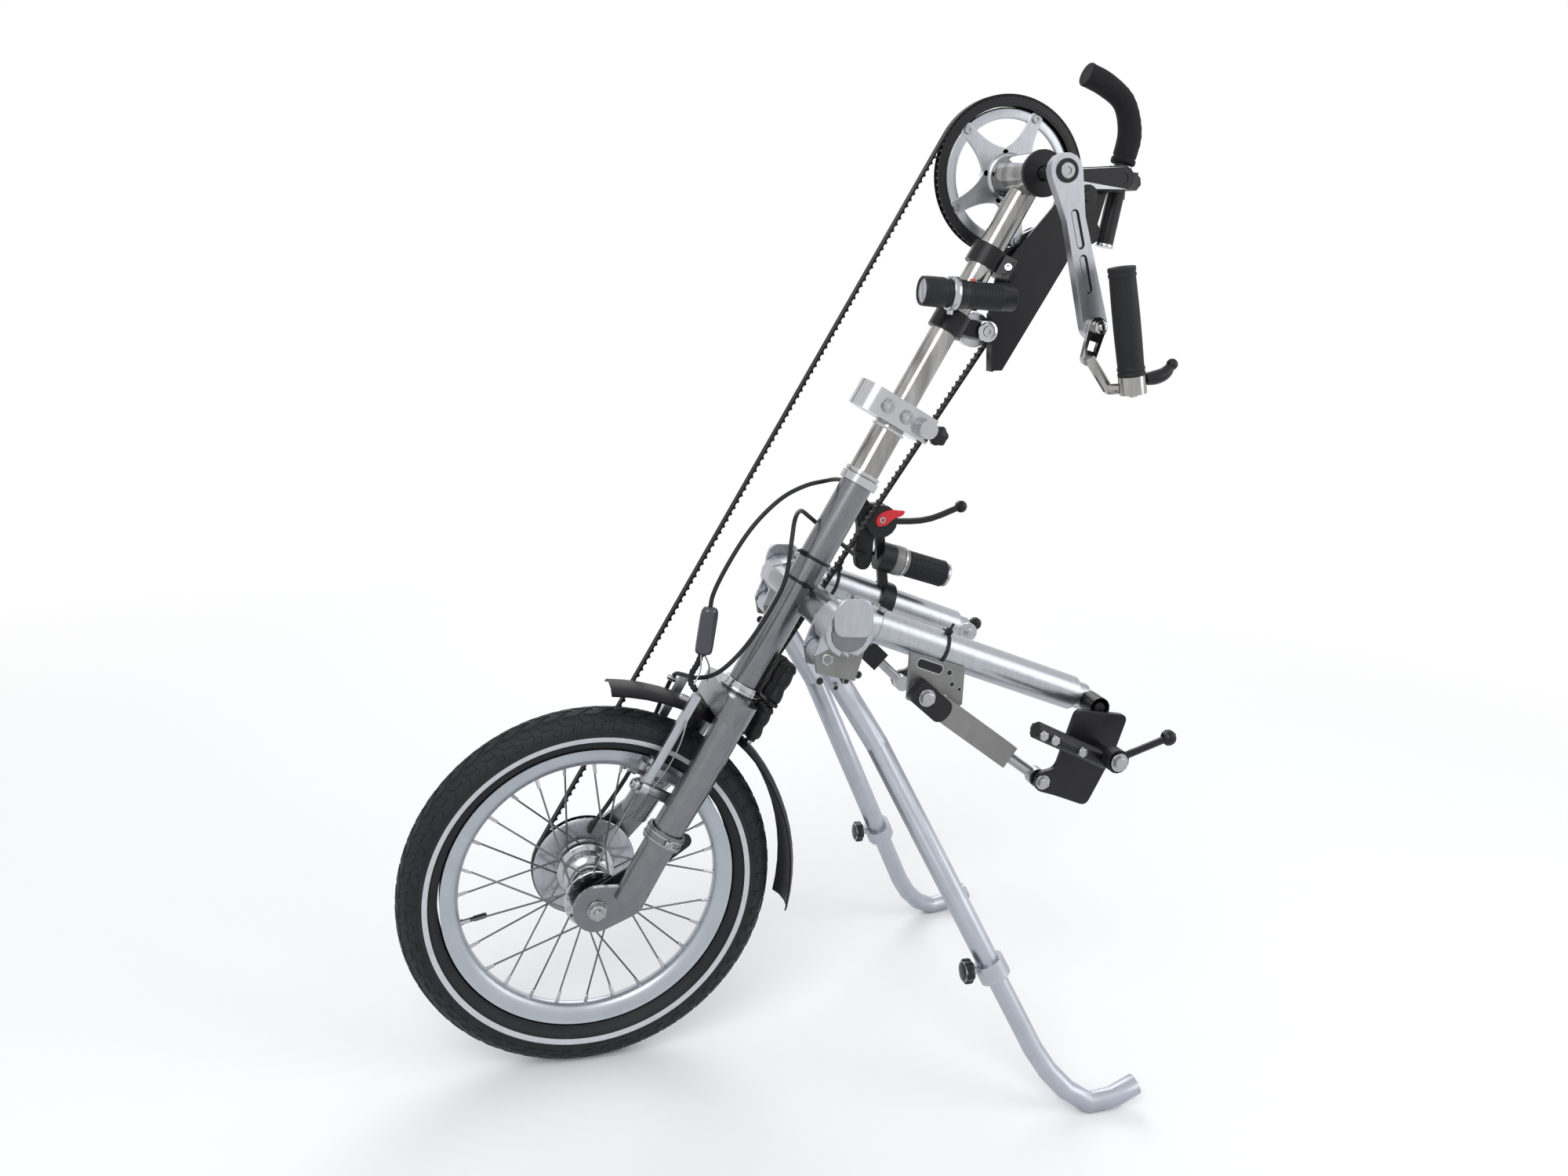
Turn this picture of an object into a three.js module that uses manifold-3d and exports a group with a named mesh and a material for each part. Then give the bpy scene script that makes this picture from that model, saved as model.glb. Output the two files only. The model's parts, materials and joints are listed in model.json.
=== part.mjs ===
// A clip-on handcycle for a wheelchair: one driven and steered front wheel, a post with hand
// cranks and a toothed belt, two arms with clamps that grip the chair, and two folding legs.
// Lengths are in millimetres. +X points to the rear, +Y to the belt side and +Z up.
// The steered parts live in a group that leans with the steering axis: its X is across
// the axis to the rear, its Z runs up the axis, and its origin is level with the wheel axle.

import * as THREE from 'three';
import { mergeVertices } from 'three/addons/utils/BufferGeometryUtils.js';
import Module from 'manifold-3d';

const wasm = await Module();
wasm.setup();

// Fits shared by all the pieces

const gap = 0.3;
const overrun = 2;
const shaftReach = 120;
const screwRadius = 4;
const screwHead = 7;
const screwHeadHeight = 4;
const knobShare = 1.6;
const lip = 1;

// Wheel and steering geometry

const wheelRadius = 202.5;
const tyreTubeRadius = 23.5;
const headLean = THREE.MathUtils.degToRad(27.76);
const rake = 40.85;

// Rim, spokes and hub

const rimFlangeRadius = 158;
const rimHalfWidth = 12;
const rimWall = 2.2;
const rimWellDepth = 6;
const rimDepth = 19;
const rimNoseHalfWidth = 4;
const spokePairs = 14;
const spokeRadius = 1.1;
const spokeSpread = 0.55;
const hubBarrelRadius = 20;
const hubFlangeRadius = 31;
const hubFlangeY = 36;
const hubFlangeThick = 3;
const hubGearRadius = 26;
const hubGearStart = 14;
const hubEnd = 40;
const hubEndRadius = 12;
const farFlangeY = 31;
const driverRadius = 16;
const axleRadius = 5;
const axleNutRadius = 9.5;
const axleNutHeight = 8;
const valveRadius = 3;
const valveLength = 28;
const valveAngle = THREE.MathUtils.degToRad(-167.14);

// Belt drive

const beltPitch = 8;
const crankTeeth = 72;
const wheelTeeth = 44;
const beltNear = 45;
const beltFar = 56;
const beltThick = 4;
const beltRise = 2;
const flangeThick = 2.2;
const flangeRise = 0.3;
const pulleyWebRadius = 77;
const spiderArms = 5;
const spiderArmWidth = 15;
const spiderThick = 6;
const spiderRingWide = 9;
const spiderHubRadius = 22;
const spiderHubNear = 41;
const spiderTurn = THREE.MathUtils.degToRad(67.2);
const spiderBoltInset = 12;

// Fork

const crownBottom = 235;
const crownTop = 262;
const crownHalfLength = 44;
const crownAcross = 19;
const legRadius = 17.5;
const steererRadius = 14.3;
const steererTop = 572;
const nearLegEnd = 20;
const farLegEnd = 72;

// Fork leg routes, each point as height, across and outward

const legTopPoint = [crownTop - overrun, -9, 43];
const nearLegRoute = [legTopPoint, [171, -10, 50], [98, -14, 54], [nearLegEnd, -15, 58]];
const farLegRoute = [legTopPoint, [171, -10, 52], [98, -14, 58], [farLegEnd, -15, 60]];
const dropoutThick = 6;
const nearDropoutY = -60;
const farDropoutY = 61.5;
const dropoutRadius = 25;
const brakeBossRadius = 6.5;
const brakePivotU = -53;
const brakePivotY = 31;
const brakePivotW = 129.5;
const brakeStudRadius = 4;

// Head tube, headset and damper

const headBottom = 274;
const headTop = 527;
const headRadius = 18.3;
const headBore = 16.8;
const cupRadius = 22;
const cupHeight = 10;
const damperLobes = 4;
const damperLobeRadius = 8.5;
const damperWidth = 52;
const damperU = 34;
const damperUpperTop = 318;
const damperLowerBottom = 222;
const damperWaist = 266;

// Cross tube that carries the two arms

const crossRadius = 20;
const crossX = 238;
const crossZ = 516;
const farCrossRadius = 16;
const farCrossStraight = 74;
const crossEnd = 130;
const armY = 108;

// Posts above the head tube

const lowerPostRadius = 17.5;
const lowerPostBore = 15.7;
const upperPostRadius = 15.3;
const clampRise = 91;
const clampW = headTop + clampRise;
const clampHigh = 30;
const lowerPostOver = 10;
const lowerPostTop = clampW + lowerPostOver;
const upperPostInsert = 38;
const upperPostBottom = clampW - upperPostInsert;
const clampLong = 91;
const clampWide = 50;
const lugLong = 22;
const clampSlot = 4;
const stemKnobRadius = 11;
const stemKnobHigh = 14;
const clampRearShare = 0.42;
const lugWidthShare = 0.5;
const clampBoltFront = -24;
const clampBoltRear = 2;

// Bottom bracket and cranks

const bracketU = -5.2;
const bracketRise = 306;
const bracketW = clampW + bracketRise;
const shellRadius = 24;
const shellHalf = 34;
const shellBore = 18;
const cupRim = 6;
const cupLip = 1.5;
const spindleRadius = 8;
const crankLength = 170;
const crankInner = 79;
const crankThick = 12.5;
const crankRootRadius = 19;
const crankTipRadius = 15;
const crankWaist = 11.5;
const slotLong = 34;
const slotRadius = 4.6;
const slotDepth = 3;
const crankWaistShare = 0.3;
const crankSlotShares = [0.27, 0.56];
const pivotRadius = 6;
const nearCrankTurn = THREE.MathUtils.degToRad(162.6);
const farCrankTurn = THREE.MathUtils.degToRad(85);

// Handles: a straight grip with a wrist rest on the near side, a bent grip on the far side

const handleRod = 9;
const nearGripY = -130;
const nearGripRadius = 15;
const nearGripLean = THREE.MathUtils.degToRad(-12.2);
const nearGripOffset = 15.5;
const nearGripBottom = -53;
const nearGripTop = 63;
const nearPlateWide = 17;
const nearPlateX = -15;
const nearPlateLong = 32;
const nearStrapX = -4;
const nearStrapY = -112;
const nearWindowShare = 0.62;
const nearStrapDrop = 14;
const nearStrapRadius = 6;
const paddleRise = 4;
const handlePlateThick = 5;
const paddleLong = 28;
const paddleShares = [0.6, 1, 1.25];
const paddleRadius = 7;
const farGripY = 130;
const farGripRadius = 15.5;
const farPostRadius = 11;
const farPostX = 26;
const farPostBottom = -82;
const farPostTop = 22;
const farGripReach = 30;
const farGripHeight = 104;
const farGripShares = [[0, 0], [0.2, 0.38], [-0.2, 0.72], [-1.1, 0.9], [-2.07, 1]];
const farRodInset = 0.1;
const farKnobRadius = 17;
const farPostLean = 16;
const farPlateFall = 14;
const farClampHigh = 22;
const farPlateReach = 92;
const farPlateDrop = 66;
const farStrapLeanShare = 0.2;
const farPlateWide = 30;

// Belt guard, idler and strap clamp

const guardY = 36;
const guardThick = 3;
const guardCorners = [[52, -43], [88, -100], [103, -91], [107, 56], [104, 127], [60, 120], [36, 0]];
const guardEarU = 88;
const guardEarW = 138;
const guardEarRadius = 13;
const guardWall = 14;
const guardBoltOut = 3;
const idlerU = 50;
const idlerDrop = 171;
const idlerW = bracketW - idlerDrop;
const idlerRadius = 20.6;
const idlerBossRadius = 11.5;
const idlerBossNear = 10;
const idlerArmThick = 12;
const idlerSetBack = 16;
const idlerCollarHigh = 26;
const idlerArmHigh = 19;
const idlerInset = 3;
const idlerEdge = 2;
const collarWall = 5;
const strapDrop = 104;
const strapW = bracketW - strapDrop;
const strapHigh = 24;
const strapStalkU = 30;
const strapLugReach = 34;
const strapLugTurn = THREE.MathUtils.degToRad(-32);

// Headlight

const lightY = -42;
const lightDrop = 152;
const lightW = bracketW - lightDrop;
const lightFront = -70;
const lightBack = 40;
const lightRadius = 16;
const lightTurn = THREE.MathUtils.degToRad(26);
const lightStem = 9;
const lightBandWall = 3;
const lightBandHalf = 4;
const lightStep = 1;

// Rim brake, mudguard and reaction arm

const brakeArmTop = 244;
const brakeArmHalf = 5;
const brakeArmU = -53;
const brakeArmTopY = 33;
const brakeArmWide = 7;
const padThick = 9;
const padHeight = 147.5;
const padHalfLong = 24;
const padHigh = 9;
const guardInner = 222;
const guardSheet = 1.6;
const guardHalfWidth = 26;
const guardCrown = 7;
const guardSectionShares = [[-1, 0], [-0.6, 0.75], [0, 1], [0.6, 0.75], [1, 0]];
const guardSteps = 20;
const guardSeatU = -9;
const guardSeatHigh = 12;
const guardStart = THREE.MathUtils.degToRad(17);
const guardEnd = THREE.MathUtils.degToRad(114.5);
const reactionLong = 112;
const reactionThick = 3.5;
const reactionHalf = 8;
const ringWall = 4;
const ringPlay = 1.2;
const reactionY = 39.5;
const reactionLean = THREE.MathUtils.degToRad(29.6);

// Arms, their clamps and slides

const armClampWall = 5.5;
const armClampWide = 42;
const armDrop = THREE.MathUtils.degToRad(19.6);
const armBossStart = 12;
const armStart = 36;
const armRise = 15;
const armTravel = 30;
const sleeveRadius = 19;
const sleeveBore = 15.4;
const sleeveLong = 256;
const slideRadius = 15;
const slideEye = 272;
const slideInside = 120;
const farSlideIn = 54;
const eyeRadius = 12;
const eyeWide = 30;
const spigotLong = 34;

// Folding stand legs

const cheekThick = 5;
const cheekCorners = [[-2, 38], [42, 34], [43, 16], [32, -25], [-10, -15], [-14, 4]];
const cheekReach = 24;
const legBoreStart = 60;
const legInside = 50;
const legKnee = 128;
const footBend = 45;
const footDip = 9;
const legPivotX = 218;
const legPivotZ = 487;
const legY = 100;
const legEyeRadius = 14;
const legJointX = 283;
const legJointY = 112;
const legJointZ = 388;
const legRingX = 408;
const legRingY = 176;
const legRingZ = 152;
const legUpperRadius = 12.5;
const legTubeBore = 11.3;
const legLowerRadius = 11;
const legRingWall = 5;
const legRingHigh = 20;
const legKnobReach = 34;
const footX = 515;
const footY = 226;
const footTipX = 569;
const footTipZ = 25;
const footFlat = 0.5;

// Chair clamps and their struts

const hangerThick = 6;
const hangerCorners = [[-14, 44], [50, 24], [50, -16], [36, -24], [8, -18], [-14, -8]];
const pinReach = 24;
const hangerY = 127;
const clampPlateY = 152;
const clampPlateThick = 8;
const clampCorners = [
  [-32, 3], [32, -7], [19, -49], [-11, -109], [-50, -94], [-76, -86], [-72, -66], [-52, -64],
];
const jawTopX = -93;
const jawTopZ = -9;
const jawLowX = -5;
const jawLowZ = -49;
const rodEyeBackX = -67;
const rodEyeBackZ = -77;
const jawY = 176;
const jawBarRadius = 9;
const leverY = 196;
const leverHubHigh = 12;
const leverHubRadius = 13;
const leverReachX = 63;
const leverReachZ = 21;
const leverRodRadius = 4;
const leverKnobRadius = 9;
const strutClear = 18;
const strutSlotPlay = 1.6;
const strutPivotX = 322;
const strutPivotZ = 449;
const strutY = 138;
const strutShown = 44;
const strutBoxHigh = 26;
const strutBoxWide = 15;
const strutRodRadius = 6;
const rodEyeShare = 1.7;

// Hand lever set on the far arm

const leverSetY = 98;
const leverPivotX = 348;
const leverPivotZ = 590;
const hoodRadius = 20;
const hoodWide = 26;
const leverLong = 108;
const leverThick = 9;
const leverBladeShare = 0.45;
const leverBall = 8;
const leverFoot = 96;
const leverRingHalf = 9;
const leverStripWide = 12;
const leverShares = [[0, 0], [0.2, -0.02], [0.6, 0.0], [1, 0.15]];
const lockThick = 4;
const lockRise = 8;
const lockLong = 40;
const lockLift = 14;
const lockRadius = 7;
const lockTipShare = 0.6;
const shifterRadius = 16;
const shifterStart = 18;
const shifterRootX = 368;
const shifterRootZ = 541;
const shifterLong = 78;
const shifterCore = 11;
const shifterStopRise = 2;
const shifterSides = 24;
const shifterDrop = THREE.MathUtils.degToRad(16);

// Cables, with their points chosen by hand along the real route

const cableRadius = 2.5;
const splitterRadius = 9;
const brakeCablePoints = [
  [333.1, 98, 604.9],
  [318, 88, 624],
  [292, 60, 642],
  [268, 32, 650],
  [246, 12, 651],
  [222, 0, 648],
  [194, -8, 636],
  [162, -12, 606],
  [134, -17, 564],
  [118, -20, 530],
  [116, -20, 515.4],
];
const splitterTop = [116, -20, 515];
const splitterLow = [111, -20, 467.5];
const noodlePoints = [[110, -20, 470], [106, -17, 455], [100, -15, 442], [98, -22, 436], [101, -33, 430]];
const gearCablePoints = [
  [344.8, 98, 548],
  [328, 90, 551],
  [312, 70, 553],
  [303, 52, 557],
  [295, 38, 563],
  [278, 33, 576],
  [257, 34, 592],
  [238, 30, 607],
  [222, 14, 617],
  [210, -6, 611],
  [204, -18, 590],
  [197, -25, 548],
  [182, -27, 516],
  [152, -27, 470],
  [126, -22, 444],
  [108, -4, 434],
  [98, 18, 431],
  [92, 35, 426],
  [84, 43, 404],
  [66, 45, 354],
  [47, 45, 310],
  [26, 42, 278],
  [11, 37.5, 259],
  [3, 36.5, 245],
];

// Solids and how they are joined

const V = (x, y, z) => new THREE.Vector3(x, y, z);

function enclosedVolume(positions, triangles) {
  let six = 0;
  const point = (index) => V(positions[3 * index], positions[3 * index + 1], positions[3 * index + 2]);
  for (let at = 0; at < triangles.length; at += 3) {
    const [a, b, c] = [0, 1, 2].map((step) => point(triangles[at + step]));
    six += a.dot(b.cross(c));
  }
  return six;
}

function solid(source) {
  const shape = source.clone();
  shape.deleteAttribute('normal');
  shape.deleteAttribute('uv');
  const merged = mergeVertices(shape, 1e-4);
  const positions = merged.attributes.position.array;
  const triangles = merged.index.array.slice();
  if (enclosedVolume(positions, triangles) < 0) {
    for (let at = 0; at < triangles.length; at += 3) {
      [triangles[at], triangles[at + 1]] = [triangles[at + 1], triangles[at]];
    }
  }
  const body = new wasm.Mesh({
    numProp: 3,
    vertProperties: new Float32Array(positions),
    triVerts: new Uint32Array(triangles),
  });
  return new wasm.Manifold(body);
}

function join(first, ...others) {
  return others.reduce((sum, other) => sum.add(other), first);
}

function cut(first, ...others) {
  return others.reduce((rest, other) => rest.subtract(other), first);
}

function pointed(shape, from, to) {
  const middle = from.clone().add(to).divideScalar(2);
  const turn = new THREE.Quaternion().setFromUnitVectors(V(0, 1, 0), to.clone().sub(from).normalize());
  shape.applyQuaternion(turn);
  shape.translate(middle.x, middle.y, middle.z);
  return solid(shape);
}

function rod(from, to, radius, sides = 16, endRadius = radius) {
  return pointed(new THREE.CylinderGeometry(endRadius, radius, from.distanceTo(to), sides), from, to);
}

function crossRod(x, z, fromY, toY, radius, sides) {
  return rod(V(x, fromY, z), V(x, toY, z), radius, sides);
}

function uprightRod(x, y, fromZ, toZ, radius, sides) {
  return rod(V(x, y, fromZ), V(x, y, toZ), radius, sides);
}

function ball(centre, radius, sides = 12) {
  const shape = new THREE.SphereGeometry(radius, sides, sides / 2);
  shape.translate(centre.x, centre.y, centre.z);
  return solid(shape);
}

function block(centre, size, turn = 0) {
  const shape = new THREE.BoxGeometry(size.x, size.y, size.z);
  shape.rotateY(turn);
  shape.translate(centre.x, centre.y, centre.z);
  return solid(shape);
}

// A flat piece whose outline is in X and Z, and whose thickness runs from one Y to another.
function sheet(shape2d, fromY, toY, steps = 6) {
  const depth = toY - fromY;
  const shape = new THREE.ExtrudeGeometry(shape2d, { depth, bevelEnabled: false, curveSegments: steps });
  shape.rotateX(Math.PI / 2);
  shape.translate(0, toY, 0);
  return solid(shape);
}

function outline(points) {
  return new THREE.Shape(points.map(([x, z]) => new THREE.Vector2(x, z)));
}

// The outline round two discs, which may differ in size, with its rounded ends as arcs.
function roundedBar(ax, az, aRadius, bx, bz, bRadius) {
  const along = Math.atan2(bz - az, bx - ax);
  const opening = Math.acos((aRadius - bRadius) / Math.hypot(bx - ax, bz - az));
  const shape = new THREE.Shape();
  shape.absarc(ax, az, aRadius, along + opening, along - opening + 2 * Math.PI, false);
  shape.absarc(bx, bz, bRadius, along - opening, along + opening, false);
  return shape;
}

// A ring or a turned piece about the Y axis, from places given as radius and Y.
function turned(places, segments = 24) {
  const profile = places.map(([radius, y]) => new THREE.Vector2(radius, y));
  const hollow = places[0][0] > 0;
  if (hollow) {
    profile.push(profile[0].clone());
  }
  return new THREE.LatheGeometry(profile, segments);
}

// The same piece moved so that its axis runs up from a point along a direction.
function turnedAt(places, origin, direction, segments = 24) {
  const shape = turned(places, segments);
  shape.applyQuaternion(new THREE.Quaternion().setFromUnitVectors(V(0, 1, 0), direction));
  shape.translate(origin.x, origin.y, origin.z);
  return solid(shape);
}

function washerPlaces(inner, outer, from, to) {
  return [[inner, from], [outer, from], [outer, to], [inner, to]];
}

// A line through points with its corners rounded, as a curve to draw a tube along.
function bentLine(points, bend) {
  const path = new THREE.CurvePath();
  let start = points[0];
  for (let at = 1; at < points.length - 1; at += 1) {
    const before = points[at].clone().sub(points[at - 1]);
    const after = points[at + 1].clone().sub(points[at]);
    const reach = Math.min(bend, before.length() / 2.05, after.length() / 2.05);
    const enter = points[at].clone().addScaledVector(before.normalize(), -reach);
    const leave = points[at].clone().addScaledVector(after.normalize(), reach);
    path.add(new THREE.LineCurve3(start, enter));
    path.add(new THREE.QuadraticBezierCurve3(enter, points[at], leave));
    start = leave;
  }
  path.add(new THREE.LineCurve3(start, points[points.length - 1]));
  return path;
}

function ringShape(radius, sides, squash = 1) {
  const corners = [];
  for (let side = 0; side < sides; side += 1) {
    const angle = (side * 2 * Math.PI) / sides;
    corners.push(new THREE.Vector2(radius * Math.cos(angle), squash * radius * Math.sin(angle)));
  }
  return new THREE.Shape(corners);
}

function tube(path, radius, sides, steps, squash = 1) {
  const section = ringShape(radius, sides, squash);
  return solid(new THREE.ExtrudeGeometry(section, { steps, extrudePath: path, bevelEnabled: false }));
}

function screw(from, direction, radius = screwHead) {
  return rod(from, from.clone().addScaledVector(direction, screwHeadHeight), radius, 8);
}

const finishes = {
  gunmetal: { color: 0x74787b, roughness: 0.35, metalness: 0.7 },
  alloy: { color: 0xc3c7cb, roughness: 0.35, metalness: 0.9 },
  chrome: { color: 0xd4d6d8, roughness: 0.12, metalness: 1 },
  steel: { color: 0x9b9fa3, roughness: 0.4, metalness: 0.9 },
  black: { color: 0x1b1c1e, roughness: 0.4, metalness: 0.1 },
  rubber: { color: 0x18191a, roughness: 0.8, metalness: 0 },
  grey: { color: 0x77787a, roughness: 0.5, metalness: 0.3 },
  red: { color: 0xc8141e, roughness: 0.4, metalness: 0 },
};

function place(group, name, body, finish) {
  const result = body.getMesh();
  const shape = new THREE.BufferGeometry();
  shape.setAttribute('position', new THREE.BufferAttribute(new Float32Array(result.vertProperties), 3));
  shape.setIndex(new THREE.BufferAttribute(new Uint32Array(result.triVerts), 1));
  shape.computeVertexNormals();
  const piece = new THREE.Mesh(shape, new THREE.MeshStandardMaterial(finishes[finish]));
  piece.name = name;
  group.add(piece);
}

// The frames that the pieces are placed in

const across = V(Math.cos(headLean), 0, -Math.sin(headLean));
const upAxis = V(Math.sin(headLean), 0, Math.cos(headLean));
const steeringOrigin = V(0, 0, wheelRadius).addScaledVector(across, rake);

function onAxis(u, y, w) {
  return steeringOrigin.clone().addScaledVector(across, u).addScaledVector(upAxis, w).add(V(0, y, 0));
}

// A solid made in the steered group's frame, moved to the frame of the chassis
function onChassis(body) {
  const turn = new THREE.Matrix4().makeRotationY(headLean).setPosition(steeringOrigin);
  return body.transform(turn.elements);
}

function groupAt(parent, name, at, turn) {
  const group = new THREE.Group();
  group.name = name;
  group.position.copy(at);
  group.rotation.y = turn;
  parent.add(group);
  return group;
}

const model = new THREE.Group();
const chassis = groupAt(model, 'chassis', V(0, 0, 0), 0);
const steered = groupAt(model, 'steered', steeringOrigin, headLean);
const wheel = groupAt(steered, 'wheel', V(-rake, 0, 0), -headLean);

// Wheel

const tyreCentreRadius = wheelRadius - tyreTubeRadius;
const rimBottomRadius = rimFlangeRadius - rimDepth;
const wheelSides = 36;

function makeTyre() {
  const seat = rimFlangeRadius + gap;
  const opening = Math.acos((tyreCentreRadius - seat) / tyreTubeRadius);
  const steps = 10;
  const places = [];
  for (let step = 0; step <= steps; step += 1) {
    const angle = Math.PI + opening + (step / steps) * 2 * (Math.PI - opening);
    const radius = tyreCentreRadius + tyreTubeRadius * Math.cos(angle);
    places.push([radius, tyreTubeRadius * Math.sin(angle)]);
  }
  return solid(turned(places, wheelSides));
}

function makeRim() {
  const inside = rimHalfWidth - rimWall;
  const well = rimFlangeRadius - rimWellDepth;
  const half = [[rimFlangeRadius, rimHalfWidth], [rimFlangeRadius, inside], [well, inside]];
  const shoulder = [well - rimWellDepth, rimHalfWidth];
  const nose = [rimBottomRadius, rimNoseHalfWidth];
  const places = [nose, shoulder, ...half];
  const mirrored = places.map(([radius, y]) => [radius, -y]).reverse();
  const ring = solid(turned([...places, ...mirrored], wheelSides));
  const out = V(Math.cos(valveAngle), 0, Math.sin(valveAngle));
  const root = out.clone().multiplyScalar(rimBottomRadius + overrun);
  const tip = out.clone().multiplyScalar(rimBottomRadius - valveLength);
  return join(ring, rod(root, tip, valveRadius, 8));
}

function makeHub() {
  const bore = axleRadius + gap;
  const driver = beltFar + overrun / 2;
  const shell = solid(turned([
    [bore, -hubFlangeY - hubFlangeThick],
    [hubEndRadius, -hubFlangeY - hubFlangeThick],
    [hubEndRadius, -hubFlangeY - hubFlangeThick / 2],
    [hubFlangeRadius, -hubFlangeY - hubFlangeThick / 2],
    [hubFlangeRadius, -hubFlangeY + hubFlangeThick / 2],
    [hubBarrelRadius, -hubFlangeY + hubFlangeThick],
    [hubBarrelRadius, hubGearStart],
    [hubGearRadius, hubGearStart + hubFlangeThick],
    [hubGearRadius, farFlangeY - hubFlangeThick / 2],
    [hubFlangeRadius, farFlangeY - hubFlangeThick / 2],
    [hubFlangeRadius, farFlangeY + hubFlangeThick / 2],
    [hubBarrelRadius, hubEnd],
    [driverRadius, hubEnd],
    [driverRadius, driver],
    [bore, driver],
  ], 18));
  const spokes = [];
  const count = 2 * spokePairs;
  for (let at = 0; at < count; at += 1) {
    const nearSide = at % 2 === 0;
    const leaning = at % 4 < 2 ? 1 : -1;
    const rimAngle = ((at + 0.5) * 2 * Math.PI) / count;
    const hubAngle = rimAngle + leaning * spokeSpread;
    const hubY = (nearSide ? -hubFlangeY : farFlangeY) + leaning * spokeRadius;
    const hole = hubFlangeRadius - 2 * spokeRadius;
    const end = rimBottomRadius * Math.cos(Math.PI / wheelSides) - gap;
    const from = V(hole * Math.cos(hubAngle), hubY, hole * Math.sin(hubAngle));
    const to = V(end * Math.cos(rimAngle), nearSide ? -spokeRadius : spokeRadius, end * Math.sin(rimAngle));
    spokes.push(rod(from, to, spokeRadius, 3));
  }
  return join(shell, ...spokes);
}

// Belt and pulleys

const crankPitchRadius = (crankTeeth * beltPitch) / (2 * Math.PI);
const wheelPitchRadius = (wheelTeeth * beltPitch) / (2 * Math.PI);

function pulleyPlaces(pitchRadius, inner) {
  const rise = pitchRadius + beltRise + flangeRise;
  const seat = pitchRadius + beltRise - beltThick - gap;
  return [
    [inner, beltNear - gap - flangeThick],
    [rise, beltNear - gap - flangeThick],
    [rise, beltNear - gap],
    [seat, beltNear - gap],
    [seat, beltFar + gap],
    [rise, beltFar + gap],
    [rise, beltFar + gap + flangeThick],
    [inner, beltFar + gap + flangeThick],
  ];
}

function makeBelt() {
  const outerTop = crankPitchRadius + beltRise;
  const outerLow = wheelPitchRadius + beltRise;
  const band = roundedBar(-rake, 0, outerLow, bracketU, bracketW, outerTop);
  band.holes.push(roundedBar(-rake, 0, outerLow - beltThick, bracketU, bracketW, outerTop - beltThick));
  return sheet(band, beltNear, beltFar, 10);
}

place(wheel, 'tyre', makeTyre(), 'rubber');
place(wheel, 'rim', makeRim(), 'alloy');
place(wheel, 'hub_with_spokes', makeHub(), 'alloy');
place(wheel, 'wheel_pulley', solid(turned(pulleyPlaces(wheelPitchRadius, driverRadius + gap), 28)), 'black');
place(steered, 'belt', makeBelt(), 'rubber');

// Fork, with its steerer, crown, legs and dropouts

function legTube(route, side, radius) {
  const path = new THREE.CatmullRomCurve3(route.map(([w, u, y]) => V(u, side * y, w)));
  return tube(path, radius, 14, 5);
}

function reactionArm(grow) {
  const bar = roundedBar(-rake, 0, hubEndRadius + overrun + grow, reactionU, reactionW, reactionHalf + grow);
  return sheet(bar, -reactionY - reactionThick - grow, -reactionY + grow);
}

const reactionU = -rake + reactionLong * Math.sin(reactionLean);
const reactionW = reactionLong * Math.cos(reactionLean);
const ringLegU = nearLegRoute[2][1];
const ringLegY = -nearLegRoute[2][2];
const ringLegW = nearLegRoute[2][0];

function makeFork() {
  const crown = new THREE.Shape();
  crown.absarc(-crownHalfLength, 0, crownAcross, Math.PI / 2, 1.5 * Math.PI, false);
  crown.absarc(crownHalfLength, 0, crownAcross, -Math.PI / 2, Math.PI / 2, false);
  const crownShape = new THREE.ExtrudeGeometry(crown, {
    depth: crownTop - crownBottom,
    bevelEnabled: false,
    curveSegments: 3,
  });
  crownShape.rotateZ(Math.PI / 2);
  crownShape.translate(nearLegRoute[0][1], 0, crownBottom);
  const raceSeat = rod(V(0, 0, crownBottom), V(0, 0, crownTop), cupRadius + overrun, 20);
  const steerer = rod(V(0, 0, crownBottom), V(0, 0, steererTop), steererRadius, 20);
  const nearLeg = legTube(nearLegRoute, -1, legRadius);
  const farLeg = legTube(farLegRoute, 1, legRadius);
  const nearPlate = sheet(
    roundedBar(-rake, 0, dropoutRadius, nearLegRoute[3][1], nearLegRoute[3][0], legRadius),
    nearDropoutY,
    nearDropoutY + dropoutThick,
  );
  const farPlate = sheet(
    roundedBar(-rake, 0, dropoutRadius, farLegRoute[3][1], farLegRoute[3][0], legRadius),
    farDropoutY,
    farDropoutY + dropoutThick,
  );
  const bosses = [-1, 1].map((side) => {
    const root = V(nearLegRoute[2][1], side * brakePivotY, brakePivotW);
    const front = V(brakePivotU + brakeArmHalf + gap, side * brakePivotY, brakePivotW);
    const tip = V(brakePivotU - brakeArmHalf - overrun, side * brakePivotY, brakePivotW);
    const leg = V(nearLegRoute[2][1], side * nearLegRoute[2][2], brakePivotW);
    return join(
      rod(root, front, brakeBossRadius, 10),
      rod(leg, root, brakeBossRadius, 10),
      rod(front, tip, brakeStudRadius, 10),
    );
  });
  const axleHole = rod(V(-rake, -shaftReach, 0), V(-rake, shaftReach, 0), axleRadius + gap, 12);
  return cut(
    join(solid(crownShape), raceSeat, steerer, nearLeg, farLeg, nearPlate, farPlate, ...bosses),
    axleHole,
    reactionArm(gap),
  );
}

function hexNut(fromY, toY, radius) {
  return rod(V(-rake, fromY, 0), V(-rake, toY, 0), radius, 6);
}

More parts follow.
